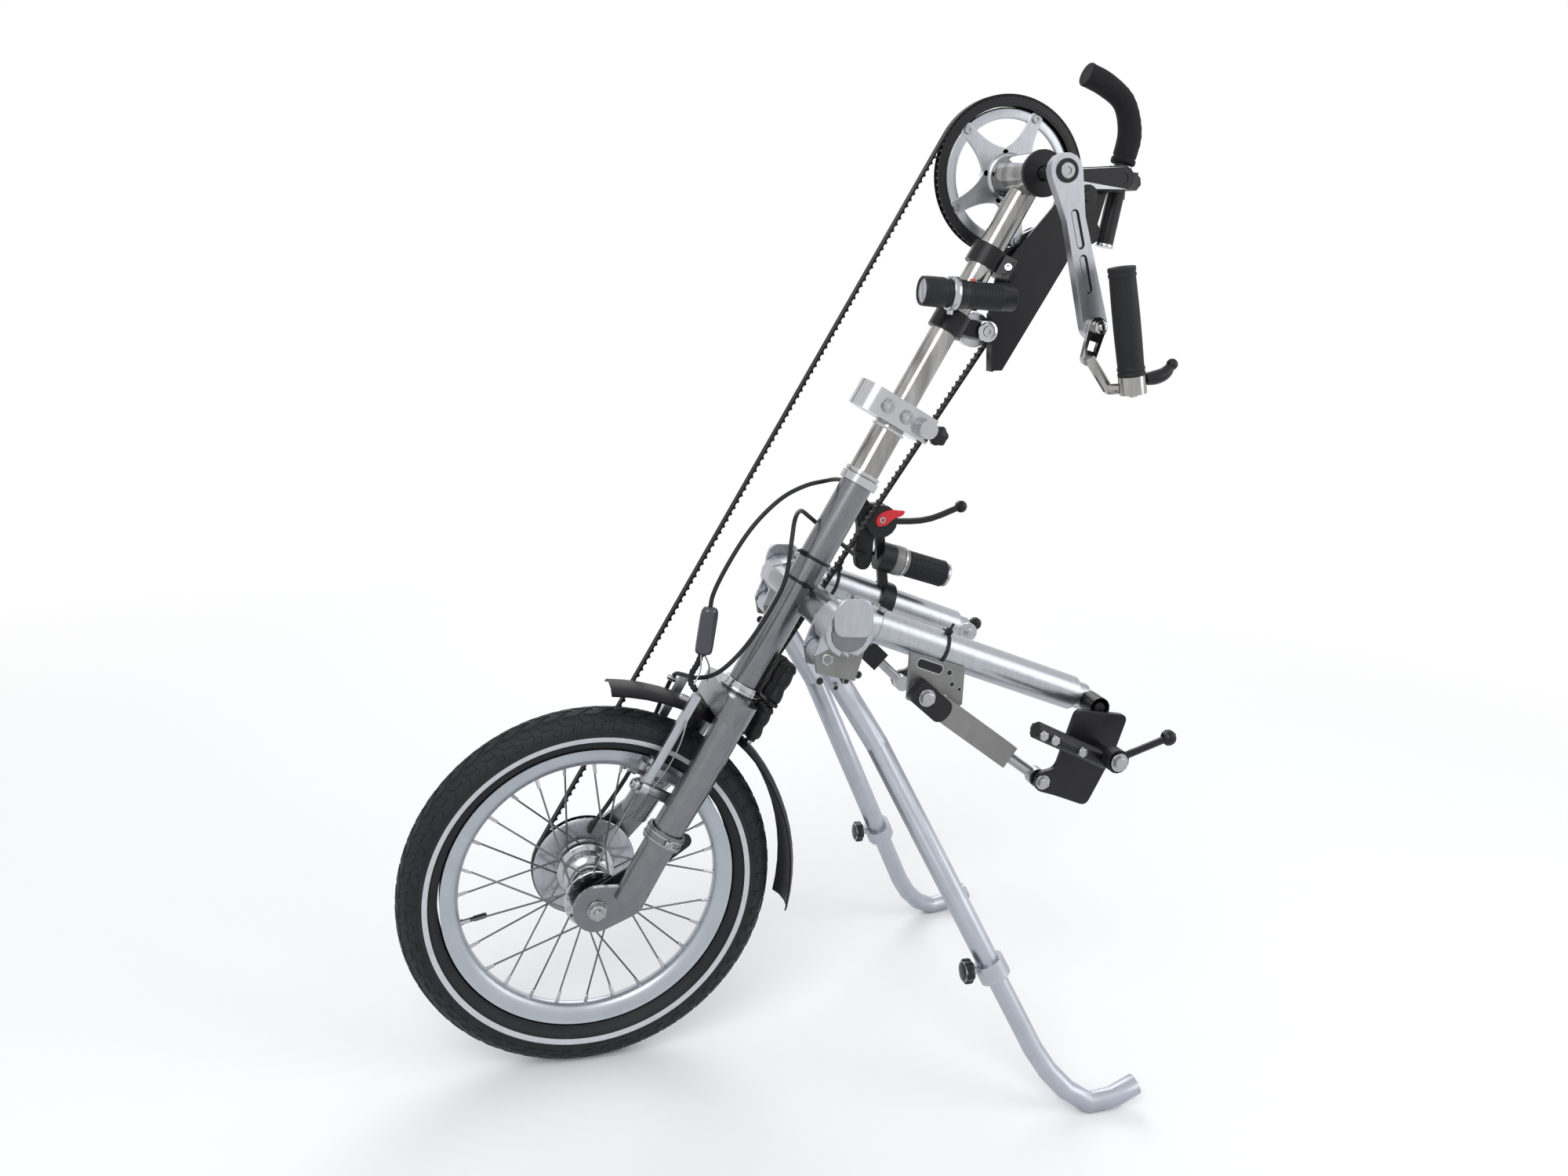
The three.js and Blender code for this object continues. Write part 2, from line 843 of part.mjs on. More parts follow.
function makeAxle() {
  const nearOut = nearDropoutY - gap;
  const farOut = farDropoutY + dropoutThick + gap;
  return join(
    crossRod(-rake, 0, nearOut - axleNutHeight - overrun, farOut + axleNutHeight + overrun, axleRadius, 12),
    hexNut(nearOut - axleNutHeight, nearOut, axleNutRadius),
    hexNut(farOut, farOut + axleNutHeight, axleNutRadius),
    hexNut(nearDropoutY + dropoutThick + gap, -reactionY - reactionThick - gap, axleNutRadius),
    hexNut(beltFar + overrun, farDropoutY - gap, axleNutRadius),
  );
}

function makeReactionArm() {
  const ringHalf = reactionHalf;
  const ring = cut(
    uprightRod(ringLegU, ringLegY, ringLegW - ringHalf, ringLegW + ringHalf, legRadius + ringWall, 16),
    rod(
      V(ringLegU, ringLegY, ringLegW - 2 * ringHalf),
      V(ringLegU, ringLegY, ringLegW + 2 * ringHalf),
      legRadius + ringPlay,
      16,
    ),
  );
  const hole = rod(V(-rake, -shaftReach, 0), V(-rake, 0, 0), axleRadius + gap, 12);
  return join(cut(reactionArm(0), hole), ring);
}

place(steered, 'fork', makeFork(), 'gunmetal');
place(steered, 'wheel_axle', makeAxle(), 'steel');
place(steered, 'reaction_arm', makeReactionArm(), 'black');

// Headset: an upper and a lower cup

function makeCup(from, to) {
  return turnedAt(washerPlaces(steererRadius + gap, cupRadius, 0, to - from), onAxis(0, 0, from), upAxis, 20);
}

place(chassis, 'headset_upper', makeCup(headTop + gap, headTop + cupHeight), 'alloy');
place(chassis, 'headset_lower', makeCup(crownTop + gap, headBottom - gap), 'alloy');

// Main frame: the head tube and the cross tube that carries the two arms

function farBow() {
  const farRoot = onAxis(0, 0, crossUp);
  return bentLine([
    farRoot,
    V(farRoot.x, farCrossStraight, farRoot.z),
    V(crossX, armY - armClampWide / 2, crossZ),
    V(crossX, armY, crossZ),
  ], farCrossRadius);
}

function makeFrame() {
  const nearRoot = onAxis(crossAcross, 0, crossUp);
  const head = rod(onAxis(0, 0, headBottom), onAxis(0, 0, headTop), headRadius, 20);
  const nearTube = rod(nearRoot, V(crossX, -crossEnd, crossZ), crossRadius, 16);
  const farTube = tube(farBow(), farCrossRadius, 12, 10);
  const farEnd = crossRod(crossX, crossZ, armY - armClampWide / 2 - gap, crossEnd, crossRadius, 16);
  const bore = rod(onAxis(0, 0, headBottom - overrun), onAxis(0, 0, headTop + overrun), headBore, 20);
  return cut(join(head, nearTube, farTube, farEnd), bore);
}

const crossUp = V(crossX, 0, crossZ).sub(steeringOrigin).dot(upAxis);
const crossAcross = V(crossX, 0, crossZ).sub(steeringOrigin).dot(across);
place(chassis, 'main_frame', makeFrame(), 'gunmetal');

// Steering damper: two lobed rubber pieces that meet in the plane of the lower headset

function makeDamper(waist, end) {
  const lobes = [];
  const step = (damperWidth - 2 * damperLobeRadius) / (damperLobes - 1);
  for (let lobe = 0; lobe < damperLobes; lobe += 1) {
    const y = damperWidth / 2 - damperLobeRadius - lobe * step;
    lobes.push(rod(V(damperU, y, waist), V(damperU, y, end), damperLobeRadius, 10));
  }
  const middle = V(damperU / 2, 0, (waist + end) / 2);
  const webSize = V(damperU, damperWidth - 2 * damperLobeRadius, Math.abs(end - waist) - 2 * overrun);
  const web = block(middle, webSize);
  const low = Math.min(waist, end) - overrun;
  const headSide = rod(V(0, 0, low), V(0, 0, damperWaist + shaftReach), headRadius + gap, 20);
  const cupSide = rod(V(0, 0, low), V(0, 0, headBottom + overrun), cupRadius + overrun + gap, 20);
  return cut(join(web, ...lobes), headSide, cupSide);
}

// Posts and the clamp between them

function makeLowerPost() {
  const collar = headTop + cupHeight + gap;
  return turnedAt([
    [steererRadius + gap, collar],
    [cupRadius - overrun, collar],
    [cupRadius - overrun, collar + cupHeight / 2],
    [lowerPostRadius, collar + cupHeight / 2],
    [lowerPostRadius, lowerPostTop],
    [lowerPostBore, lowerPostTop],
    [lowerPostBore, collar + cupHeight],
    [steererRadius + gap, collar + cupHeight],
  ], V(0, 0, 0), V(0, 0, 1), 24);
}

function makeStemClamp() {
  const rear = clampLong * clampRearShare;
  const front = clampLong - rear;
  const bodyMiddle = V((rear - front + lugLong) / 2, 0, clampW);
  const body = block(bodyMiddle, V(clampLong - lugLong, clampWide, clampHigh));
  const nose = rod(
    V(lugLong - front, 0, clampW - clampHigh / 2),
    V(lugLong - front, 0, clampW + clampHigh / 2),
    clampWide / 2,
    20,
  );
  const lug = block(V(lugLong / 2 - front, 0, clampW), V(lugLong, clampWide * lugWidthShare, clampHigh));
  const slot = block(V(-front / 2 - overrun, 0, clampW), V(front, clampSlot, clampHigh + overrun));
  const bore = rod(V(0, 0, clampW - clampHigh), V(0, 0, clampW + clampHigh), lowerPostRadius + gap, 24);
  const bolts = [clampBoltFront, clampBoltRear].map((u) => screw(V(u, -clampWide / 2, clampW), V(0, -1, 0)));
  const crossBolt = rod(
    V(lugLong / 2 - front, -clampWide / 2 * lugWidthShare - screwHeadHeight, clampW),
    V(lugLong / 2 - front, clampWide / 2 * lugWidthShare + screwHeadHeight, clampW),
    screwRadius,
    8,
  );
  const knob = rod(
    V(rear - stemKnobRadius, -clampWide / 2, clampW),
    V(rear - stemKnobRadius, -clampWide / 2 - stemKnobHigh, clampW),
    stemKnobRadius,
    12,
  );
  return cut(join(cut(join(body, nose, lug), slot), ...bolts, crossBolt, knob), bore);
}

function makeUpperPost() {
  const shell = rod(V(bracketU, -shellHalf, bracketW), V(bracketU, shellHalf, bracketW), shellRadius, 24);
  const tubePart = rod(V(0, 0, upperPostBottom), V(0, 0, bracketW), upperPostRadius, 24);
  const farCup = crossRod(bracketU, bracketW, shellHalf, shellHalf + cupRim, shellRadius + cupLip, 20);
  const bore = rod(V(bracketU, -shaftReach, bracketW), V(bracketU, shaftReach, bracketW), shellBore, 20);
  return cut(join(shell, tubePart, farCup), bore);
}

function makeBracketCup() {
  return turnedAt([
    [spindleRadius + gap, -shellHalf + overrun * 2],
    [shellBore - gap, -shellHalf + overrun * 2],
    [shellBore - gap, -shellHalf - gap],
    [shellRadius + overrun, -shellHalf - gap],
    [shellRadius + overrun, -shellHalf - cupRim],
    [spindleRadius + gap, -shellHalf - cupRim],
  ], V(bracketU, 0, bracketW), V(0, 1, 0), 24);
}

// A clamp ring about the steering axis, with a slot and two lugs on one side
function collar(w, high, bore, lugTurn, lugReach, lugThick) {
  const low = V(0, 0, w - high / 2);
  const top = V(0, 0, w + high / 2);
  const lug = new THREE.BoxGeometry(lugReach, lugThick, high);
  lug.translate(lugReach / 2, 0, w);
  lug.rotateZ(lugTurn);
  const slot = new THREE.BoxGeometry(lugReach + overrun, clampSlot / 2, high + overrun);
  slot.translate((lugReach + overrun) / 2, 0, w);
  slot.rotateZ(lugTurn);
  const hole = rod(V(0, 0, w - high), V(0, 0, w + high), bore + gap, 24);
  return cut(join(rod(low, top, bore + collarWall, 20), solid(lug)), hole, solid(slot));
}

function makeStrapClamp() {
  const ring = collar(strapW, strapHigh, upperPostRadius, strapLugTurn, strapLugReach, 3 * clampSlot);
  const outward = V(Math.cos(strapLugTurn), Math.sin(strapLugTurn), 0);
  const side = V(-outward.y, outward.x, 0);
  const bolts = [-1, 1].map((up) => {
    const centre = outward.clone().multiplyScalar(strapLugReach - screwHead);
    centre.z = strapW + (up * strapHigh) / 4;
    const half = 1.5 * clampSlot + screwHeadHeight / 2;
    const from = centre.clone().addScaledVector(side, -half);
    return rod(from, centre.clone().addScaledVector(side, half), screwHead / 2, 8);
  });
  const stalkFar = guardY - gap;
  const stalk = block(
    V(strapStalkU, (stalkFar + collarWall) / 2, strapW),
    V(2 * upperPostRadius, stalkFar - collarWall, strapHigh / 2),
  );
  const hole = rod(V(0, 0, strapW - strapHigh), V(0, 0, strapW + strapHigh), upperPostRadius + gap, 24);
  return cut(join(ring, ...bolts, stalk), hole);
}

place(chassis, 'damper_upper', onChassis(makeDamper(damperWaist + gap, damperUpperTop)), 'rubber');
place(steered, 'damper_lower', makeDamper(damperWaist - gap, damperLowerBottom), 'rubber');
place(steered, 'lower_post', makeLowerPost(), 'chrome');
place(steered, 'stem_clamp', makeStemClamp(), 'alloy');
place(steered, 'upper_post', makeUpperPost(), 'chrome');
place(steered, 'bracket_cup', makeBracketCup(), 'black');
place(steered, 'strap_clamp', makeStrapClamp(), 'black');

// Cranks, top pulley and its spider. In this group the near crank's turn is measured from straight up.

const pulleySides = 40;
const cranks = groupAt(steered, 'cranks', V(bracketU, 0, bracketW), -headLean);

function crankTip(turn) {
  return V(crankLength * Math.sin(turn), 0, crankLength * Math.cos(turn));
}

function makeCrank(side, turn) {
  const tip = crankTip(turn);
  const inner = side * crankInner;
  const outer = side * (crankInner + crankThick);
  const [from, to] = [Math.min(inner, outer), Math.max(inner, outer)];
  const waist = tip.clone().multiplyScalar(crankWaistShare);
  const root = sheet(roundedBar(0, 0, crankRootRadius, waist.x, waist.z, crankWaist), from, to, 4);
  const end = sheet(roundedBar(waist.x, waist.z, crankWaist, tip.x, tip.z, crankTipRadius), from, to, 4);
  const slots = crankSlotShares.map((share) => {
    const start = tip.clone().multiplyScalar(share);
    const stop = tip.clone().multiplyScalar(share + slotLong / crankLength);
    const face = [outer - side * slotDepth, outer + side * overrun];
    const outline = roundedBar(start.x, start.z, slotRadius, stop.x, stop.z, slotRadius);
    return sheet(outline, Math.min(...face), Math.max(...face), 3);
  });
  const spindle = crossRod(0, 0, side * (crankInner - overrun), side * shaftReach, spindleRadius + gap, 12);
  const pivot = rod(V(tip.x, -shaftReach, tip.z), V(tip.x, shaftReach, tip.z), pivotRadius + gap, 12);
  return cut(join(root, end), ...slots, spindle, pivot);
}

function makeSpindle() {
  const end = crankInner + crankThick;
  const places = [
    [0, -end - lip],
    [spindleRadius + overrun, -end - lip],
    [spindleRadius + overrun, -end - gap],
    [spindleRadius, -end - gap],
    [spindleRadius, end + gap],
    [spindleRadius + overrun, end + gap],
    [spindleRadius + overrun, end + lip],
    [0, end + lip],
  ];
  return solid(turned(places, 16));
}

function makeTopPulley() {
  return solid(turned(pulleyPlaces(crankPitchRadius, pulleyWebRadius + gap), pulleySides));
}

function makeSpider() {
  const y = (beltNear + beltFar) / 2;
  const [from, to] = [y - spiderThick / 2, y + spiderThick / 2];
  const disc = ringShape(pulleyWebRadius, pulleySides);
  const outer = pulleyWebRadius - spiderRingWide;
  const bolts = [];
  for (let arm = 0; arm < spiderArms; arm += 1) {
    const angle = spiderTurn + (arm * 2 * Math.PI) / spiderArms;
    const next = angle + (2 * Math.PI) / spiderArms;
    const window = new THREE.Path();
    const atRing = spiderArmWidth / 2 / outer;
    const atHub = spiderArmWidth / 2 / spiderHubRadius;
    window.absarc(0, 0, outer, angle + atRing, next - atRing, false);
    window.absarc(0, 0, spiderHubRadius, next - atHub, angle + atHub, true);
    disc.holes.push(window);
    const radius = pulleyWebRadius - spiderBoltInset;
    const x = radius * Math.cos(angle);
    const z = radius * Math.sin(angle);
    bolts.push(rod(V(x, from + lip, z), V(x, from - screwHeadHeight, z), screwHead, 6));
  }
  const hubPlaces = washerPlaces(spindleRadius + gap, spiderHubRadius, spiderHubNear, crankInner - gap);
  const hub = solid(turned(hubPlaces, 20));
  const hole = rod(V(0, from - overrun, 0), V(0, to + overrun, 0), spiderHubRadius - overrun, 16);
  return join(cut(sheet(disc, from, to, 4), hole), hub, ...bolts);
}

place(cranks, 'crank_axle', makeSpindle(), 'alloy');
place(cranks, 'near_crank', makeCrank(-1, nearCrankTurn), 'alloy');
place(cranks, 'far_crank', makeCrank(1, farCrankTurn), 'alloy');
place(cranks, 'top_pulley', makeTopPulley(), 'black');
place(cranks, 'pulley_spider', makeSpider(), 'alloy');

// Handles, each in a group at the end of its crank

const nearHandle = groupAt(cranks, 'near_handle', crankTip(nearCrankTurn), nearGripLean);
const farHandle = groupAt(cranks, 'far_handle', crankTip(farCrankTurn), 0);
const crankFace = crankInner + crankThick;

const plateFace = crankFace + gap;

function nearPin() {
  const headFace = plateFace + handlePlateThick;
  const shank = rod(V(0, -headFace, 0), V(0, -crankInner - gap, 0), pivotRadius, 12);
  const head = rod(V(0, -headFace - screwHeadHeight, 0), V(0, -headFace, 0), pivotRadius + overrun, 12);
  return join(shank, head);
}

function makeNearBracket() {
  const [from, to] = [-plateFace - handlePlateThick, -plateFace];
  const plateEnd = V(nearPlateX, (from + to) / 2, -nearPlateLong);
  const narrow = nearPlateWide / 2;
  const plate = sheet(roundedBar(0, 0, narrow + overrun, plateEnd.x, plateEnd.z, narrow), from, to);
  const windowSize = nearPlateWide * nearWindowShare;
  const window = block(
    V(plateEnd.x * nearWindowShare, plateEnd.y, plateEnd.z * nearWindowShare),
    V(windowSize, handlePlateThick * 3, windowSize),
    Math.atan2(plateEnd.x, plateEnd.z),
  );
  const footTop = V(nearGripOffset, nearGripY, nearGripBottom - nearStrapDrop);
  const strapStart = plateEnd.clone().setY(-plateFace - nearStrapRadius);
  const strapPath = [strapStart, V(nearStrapX, nearStrapY, footTop.z), footTop];
  const strap = [0, 1].map((at) => rod(strapPath[at], strapPath[at + 1], nearStrapRadius, 8));
  const knuckle = ball(strapPath[1], nearStrapRadius, 6);
  const footLow = footTop.clone().add(V(0, 0, -nearStrapRadius));
  const core = rod(footLow, V(nearGripOffset, nearGripY, nearGripTop - overrun), handleRod, 10);
  const disc = rod(footLow, V(nearGripOffset, nearGripY, nearGripBottom - gap), nearGripRadius, 16);
  return join(cut(plate, window), nearPin(), ...strap, knuckle, core, disc);
}

function makeNearGrip() {
  const low = V(nearGripOffset, nearGripY, nearGripBottom);
  const top = V(nearGripOffset, nearGripY, nearGripTop);
  const holeTop = top.clone().add(V(0, 0, gap - overrun));
  const hole = rod(low.clone().add(V(0, 0, -overrun)), holeTop, handleRod + gap, 10);
  return cut(rod(low, top, nearGripRadius, 18), hole);
}

function makePaddle() {
  const root = V(nearGripOffset + nearGripRadius + gap, nearGripY, nearGripBottom - nearStrapDrop / 2);
  const middle = root.clone().add(V(paddleLong * paddleShares[0], 0, 0));
  const end = root.clone().add(V(paddleLong * paddleShares[1], 0, paddleRise));
  const stem = rod(root, middle, paddleRadius, 8);
  const tip = rod(middle, end, paddleRadius, 8, paddleRadius * paddleShares[2]);
  return join(stem, ball(middle, paddleRadius, 8), tip);
}

place(nearHandle, 'near_handle_bracket', makeNearBracket(), 'chrome');
place(nearHandle, 'near_grip', makeNearGrip(), 'rubber');
place(nearHandle, 'wrist_paddle', makePaddle(), 'black');

function makeFarBracket() {
  const inner = crankInner + lip;
  const outer = farGripY - farPostRadius + overrun;
  const pin = rod(V(0, inner, 0), V(0, crankFace + lip, 0), pivotRadius, 12);
  const knob = rod(V(0, crankFace + gap, 0), V(0, outer, 0), farKnobRadius, 16);
  const armSize = V(farPostX + 2 * farPostRadius, 2 * farPostRadius, farClampHigh);
  const armBlock = block(V(farPostX / 2, farGripY - farPostRadius, 0), armSize);
  const postTop = V(farPostX, farGripY, farPostTop - overrun);
  const post = rod(postTop, V(farPostX - farPostLean, farGripY, farPostBottom), farPostRadius, 16);
  const nut = rod(V(farPostX, farGripY, 0), V(farPostX + farPostRadius * 2, farGripY, 0), screwHead, 8);
  const strapTop = V(0, farGripY, -farClampHigh / 2 + lip);
  const strapLow = V(-farPlateDrop * farStrapLeanShare, farGripY, -farPlateDrop);
  const strap = block(
    strapTop.clone().add(strapLow).divideScalar(2),
    V(farPlateWide / 2, handlePlateThick, strapTop.distanceTo(strapLow) + handlePlateThick),
    Math.atan2(strapTop.x - strapLow.x, strapTop.z - strapLow.z),
  );
  const half = farPlateWide / 2;
  const plate = sheet(
    roundedBar(strapLow.x, strapLow.z, half, -farPlateReach, -farPlateDrop - farPlateFall, half),
    farGripY - handlePlateThick / 2,
    farGripY + handlePlateThick / 2,
  );
  const gripRod = tube(farGripPath(1 - farRodInset), handleRod, 8, 6);
  const joint = uprightRod(farPostX, farGripY, -farPostTop, farPostTop + overrun, handleRod - overrun, 8);
  return join(pin, knob, armBlock, post, nut, strap, plate, joint, gripRod);
}

function farGripPath(share) {
  const points = farGripShares.map(([x, z]) => {
    return V(farPostX + farGripReach * x, farGripY, farPostTop + farGripHeight * z);
  });
  const whole = new THREE.CatmullRomCurve3(points);
  return share === 1 ? whole : new THREE.CatmullRomCurve3(whole.getSpacedPoints(8).slice(0, -1));
}

function makeFarGrip() {
  const outside = tube(farGripPath(1), farGripRadius, 14, 8);
  const inside = tube(farGripPath(1 - farRodInset), handleRod + gap, 8, 6);
  const rodEnd = ball(farGripPath(1 - farRodInset).getPoint(1), handleRod + gap, 8);
  const rodStart = uprightRod(farPostX, farGripY, 0, farPostTop + 2 * overrun, handleRod, 8);
  const footSize = V(4 * farGripRadius, 4 * farGripRadius, 2 * farGripRadius);
  const foot = block(V(farPostX, farGripY, farPostTop - farGripRadius + gap), footSize);
  return cut(outside, inside, rodEnd, rodStart, foot);
}

place(farHandle, 'far_handle_bracket', makeFarBracket(), 'black');
place(farHandle, 'far_grip', makeFarGrip(), 'rubber');

// Rim brake: two arms that pinch the rim, each turning on its stud

function makeBrakeArm(side) {
  const y = side * brakePivotY;
  const lower = V(brakePivotU, y, brakePivotW);
  const upper = V(brakeArmU, side * brakeArmTopY, brakeArmTop);
  const eye = rod(
    V(brakePivotU - brakeArmHalf, y, brakePivotW),
    V(brakePivotU + brakeArmHalf, y, brakePivotW),
    brakeBossRadius + overrun,
    12,
  );
  const middle = lower.clone().add(upper).divideScalar(2);
  const length = lower.distanceTo(upper);
  const bar = new THREE.BoxGeometry(2 * brakeArmHalf, brakeArmWide, length);
  const along = upper.clone().sub(lower).normalize();
  bar.applyQuaternion(new THREE.Quaternion().setFromUnitVectors(V(0, 0, 1), along));
  bar.translate(middle.x, middle.y, middle.z);
  const padCentre = V(-rake, side * (rimHalfWidth + lip + padThick / 2), padHeight);
  const pad = block(padCentre, V(2 * padHalfLong, padThick, padHigh));
  const post = rod(
    V(brakeArmU, side * (rimHalfWidth + padThick / 2), padCentre.z),
    V(brakeArmU, y + side * overrun, padCentre.z),
    screwRadius,
    8,
  );
  const hole = rod(
    V(brakePivotU - shaftReach, y, brakePivotW),
    V(brakePivotU + shaftReach, y, brakePivotW),
    brakeStudRadius + gap,
    10,
  );
  return join(cut(join(eye, solid(bar)), hole), pad, post);
}

const brakeArms = groupAt(steered, 'brake_arms', V(0, 0, 0), 0);
place(brakeArms, 'near_brake_arm', makeBrakeArm(-1), 'alloy');
place(brakeArms, 'far_brake_arm', makeBrakeArm(1), 'alloy');

// Mudguard: a crowned strip that follows the tyre and hangs under the crown

function makeMudguard() {
  const section = guardSection();
  const arc = new THREE.EllipseCurve(0, 0, guardInner, guardInner, guardStart, guardEnd, false);
  const places = arc.getPoints(guardSteps).map((point) => V(point.x - rake, 0, point.y));
  const positions = [];
  const triangles = [];
  places.forEach((point) => {
    const out = V(point.x + rake, 0, point.z).normalize();
    section.forEach(([y, rise]) => positions.push(point.x + out.x * rise, y, point.z + out.z * rise));
  });
  const count = section.length;
  for (let ring = 0; ring < guardSteps; ring += 1) {
    for (let corner = 0; corner < count; corner += 1) {
      const next = (corner + 1) % count;
      const [a, b] = [ring * count + corner, ring * count + next];
      const [c, d] = [a + count, b + count];
      triangles.push(a, b, d, a, d, c);
    }
  }
  const caps = THREE.ShapeUtils.triangulateShape(section.map(([y, rise]) => new THREE.Vector2(y, rise)), []);
  const last = guardSteps * count;
  caps.forEach(([a, b, c]) => {
    triangles.push(a, c, b);
    triangles.push(last + a, last + b, last + c);
  });
  const shape = new THREE.BufferGeometry();
  shape.setAttribute('position', new THREE.BufferAttribute(new Float32Array(positions), 3));
  shape.setIndex(triangles);
  const seatTop = crownBottom - gap;
  const seatSize = V(2 * crownAcross, guardHalfWidth, guardSeatHigh);
  const seat = block(V(guardSeatU, 0, seatTop - guardSeatHigh / 2), seatSize);
  const inner = rod(V(-rake, -shaftReach, 0), V(-rake, shaftReach, 0), guardInner + guardCrown, 64);
  return join(solid(shape), cut(seat, inner));
}

function guardSection() {
  const half = guardSectionShares.map(([y, rise]) => [y * guardHalfWidth, rise * guardCrown]);
  const outside = half.map(([y, rise]) => [y, rise + guardSheet]).reverse();
  return [...half, ...outside];
}

place(steered, 'mudguard', makeMudguard(), 'black');

// Belt guard: a flat plate with a folded edge, held by the strap clamp and the far cup

function makeBeltGuard() {
  const [fromY, toY] = [guardY, guardY + guardThick];
  const corners = guardCorners.map(([u, w]) => [u, strapW + w]);
  const plate = sheet(outline(corners), fromY, toY);
  const wallFrom = corners[0];
  const wallTo = corners[1];
  const wallY = fromY - guardWall / 2 + guardThick;
  const wallMiddle = V((wallFrom[0] + wallTo[0]) / 2, wallY, (wallFrom[1] + wallTo[1]) / 2);
  const wallLong = Math.hypot(wallTo[0] - wallFrom[0], wallTo[1] - wallFrom[1]);
  const wallTurn = Math.atan2(wallTo[0] - wallFrom[0], wallTo[1] - wallFrom[1]);
  const wall = block(wallMiddle, V(guardThick, guardWall, wallLong), wallTurn);
  const [cornerU, cornerW] = corners[4];
  const [earRootU, earRootW] = [cornerU - guardEarRadius, cornerW - 2 * guardEarRadius];
  const ear = sheet(
    roundedBar(guardEarU, strapW + guardEarW, guardEarRadius, earRootU, earRootW, guardEarRadius),
    fromY,
    toY,
  );
  const bolt = crossRod(guardEarU, strapW + guardEarW, fromY - guardBoltOut, toY, screwHead, 10);
  return join(plate, wall, ear, bolt);
}

place(steered, 'belt_guard', makeBeltGuard(), 'black');

// Idler: a clamp on the post with an arm and a boss, and the roller that runs on the belt

function makeIdlerBracket() {
  const ring = rod(
    V(0, 0, idlerW - idlerCollarHigh / 2 - idlerSetBack),
    V(0, 0, idlerW + idlerCollarHigh / 2 - idlerSetBack),
    upperPostRadius + collarWall,
    20,
  );
  const boss = crossRod(idlerU, idlerW, idlerBossNear, beltNear - idlerInset, idlerBossRadius, 16);
  const pin = crossRod(idlerU, idlerW, idlerBossNear, beltFar + idlerEdge, screwRadius, 10);
  const armY0 = idlerBossNear + idlerArmThick / 2 + idlerEdge;
  const middle = V(idlerU / 2 + overrun, armY0, idlerW - idlerSetBack / 2);
  const arm = block(middle, V(idlerU, idlerArmThick, idlerArmHigh), -Math.atan2(idlerSetBack, idlerU));
  const hole = rod(V(0, 0, idlerW - shaftReach), V(0, 0, idlerW + shaftReach), upperPostRadius + gap, 24);
  return cut(join(ring, boss, pin, arm), hole);
}

function makeIdler() {
  return turnedAt([
    [screwRadius + gap, beltNear - idlerEdge],
    [idlerRadius - lip, beltNear - idlerEdge],
    [idlerRadius, beltNear],
    [idlerRadius, beltFar],
    [idlerRadius - lip, beltFar + lip],
    [screwRadius + gap, beltFar + lip],
  ], V(idlerU, 0, idlerW), V(0, 1, 0), 20);
}

place(steered, 'idler_bracket', makeIdlerBracket(), 'black');
place(steered, 'idler_roller', makeIdler(), 'steel');

// Headlight on a short arm with its own clamp

function makeHeadlight() {
  const direction = V(Math.cos(lightTurn), 0, Math.sin(lightTurn));
  const centre = V(0, lightY, lightW);
  const at = (along) => centre.clone().addScaledVector(direction, along);
  const body = turnedAt([
    [0, lightFront],
    [lightRadius, lightFront],
    [lightRadius + lightStep, lightFront / 2],
    [lightRadius - lightStep, 0],
    [lightRadius - 2 * lightStep, lightBack],
    [0, lightBack],
  ], centre, direction, 16);
  const ringFrom = at(lightFront / 2 - lightBandHalf);
  const band = rod(ringFrom, at(lightFront / 2 + lightBandHalf), lightRadius + lightBandWall, 16);
  const collarRadius = upperPostRadius + collarWall;
  const collarShape = uprightRod(0, 0, lightW - lightStem, lightW + lightStem, collarRadius, 20);
  const stem = rod(V(0, 0, lightW), V(0, lightY, lightW), lightStem - lip, 10);
  const hole = rod(V(0, 0, lightW - shaftReach), V(0, 0, lightW + shaftReach), upperPostRadius + gap, 24);
  return cut(join(body, band, collarShape, stem), hole);
}

place(steered, 'headlight', makeHeadlight(), 'black');

// Arms: the clamps on the cross tube with the stand cheeks, the sleeves and the slides

const armDirection = V(Math.cos(armDrop), 0, -Math.sin(armDrop));
const armSides = [['near', -1], ['far', 1]];

function armPoint(side, along, lift = 0) {
  const up = V(Math.sin(armDrop), 0, Math.cos(armDrop));
  const root = V(crossX, side * armY, crossZ + armRise);
  return root.addScaledVector(armDirection, along).addScaledVector(up, lift);
}

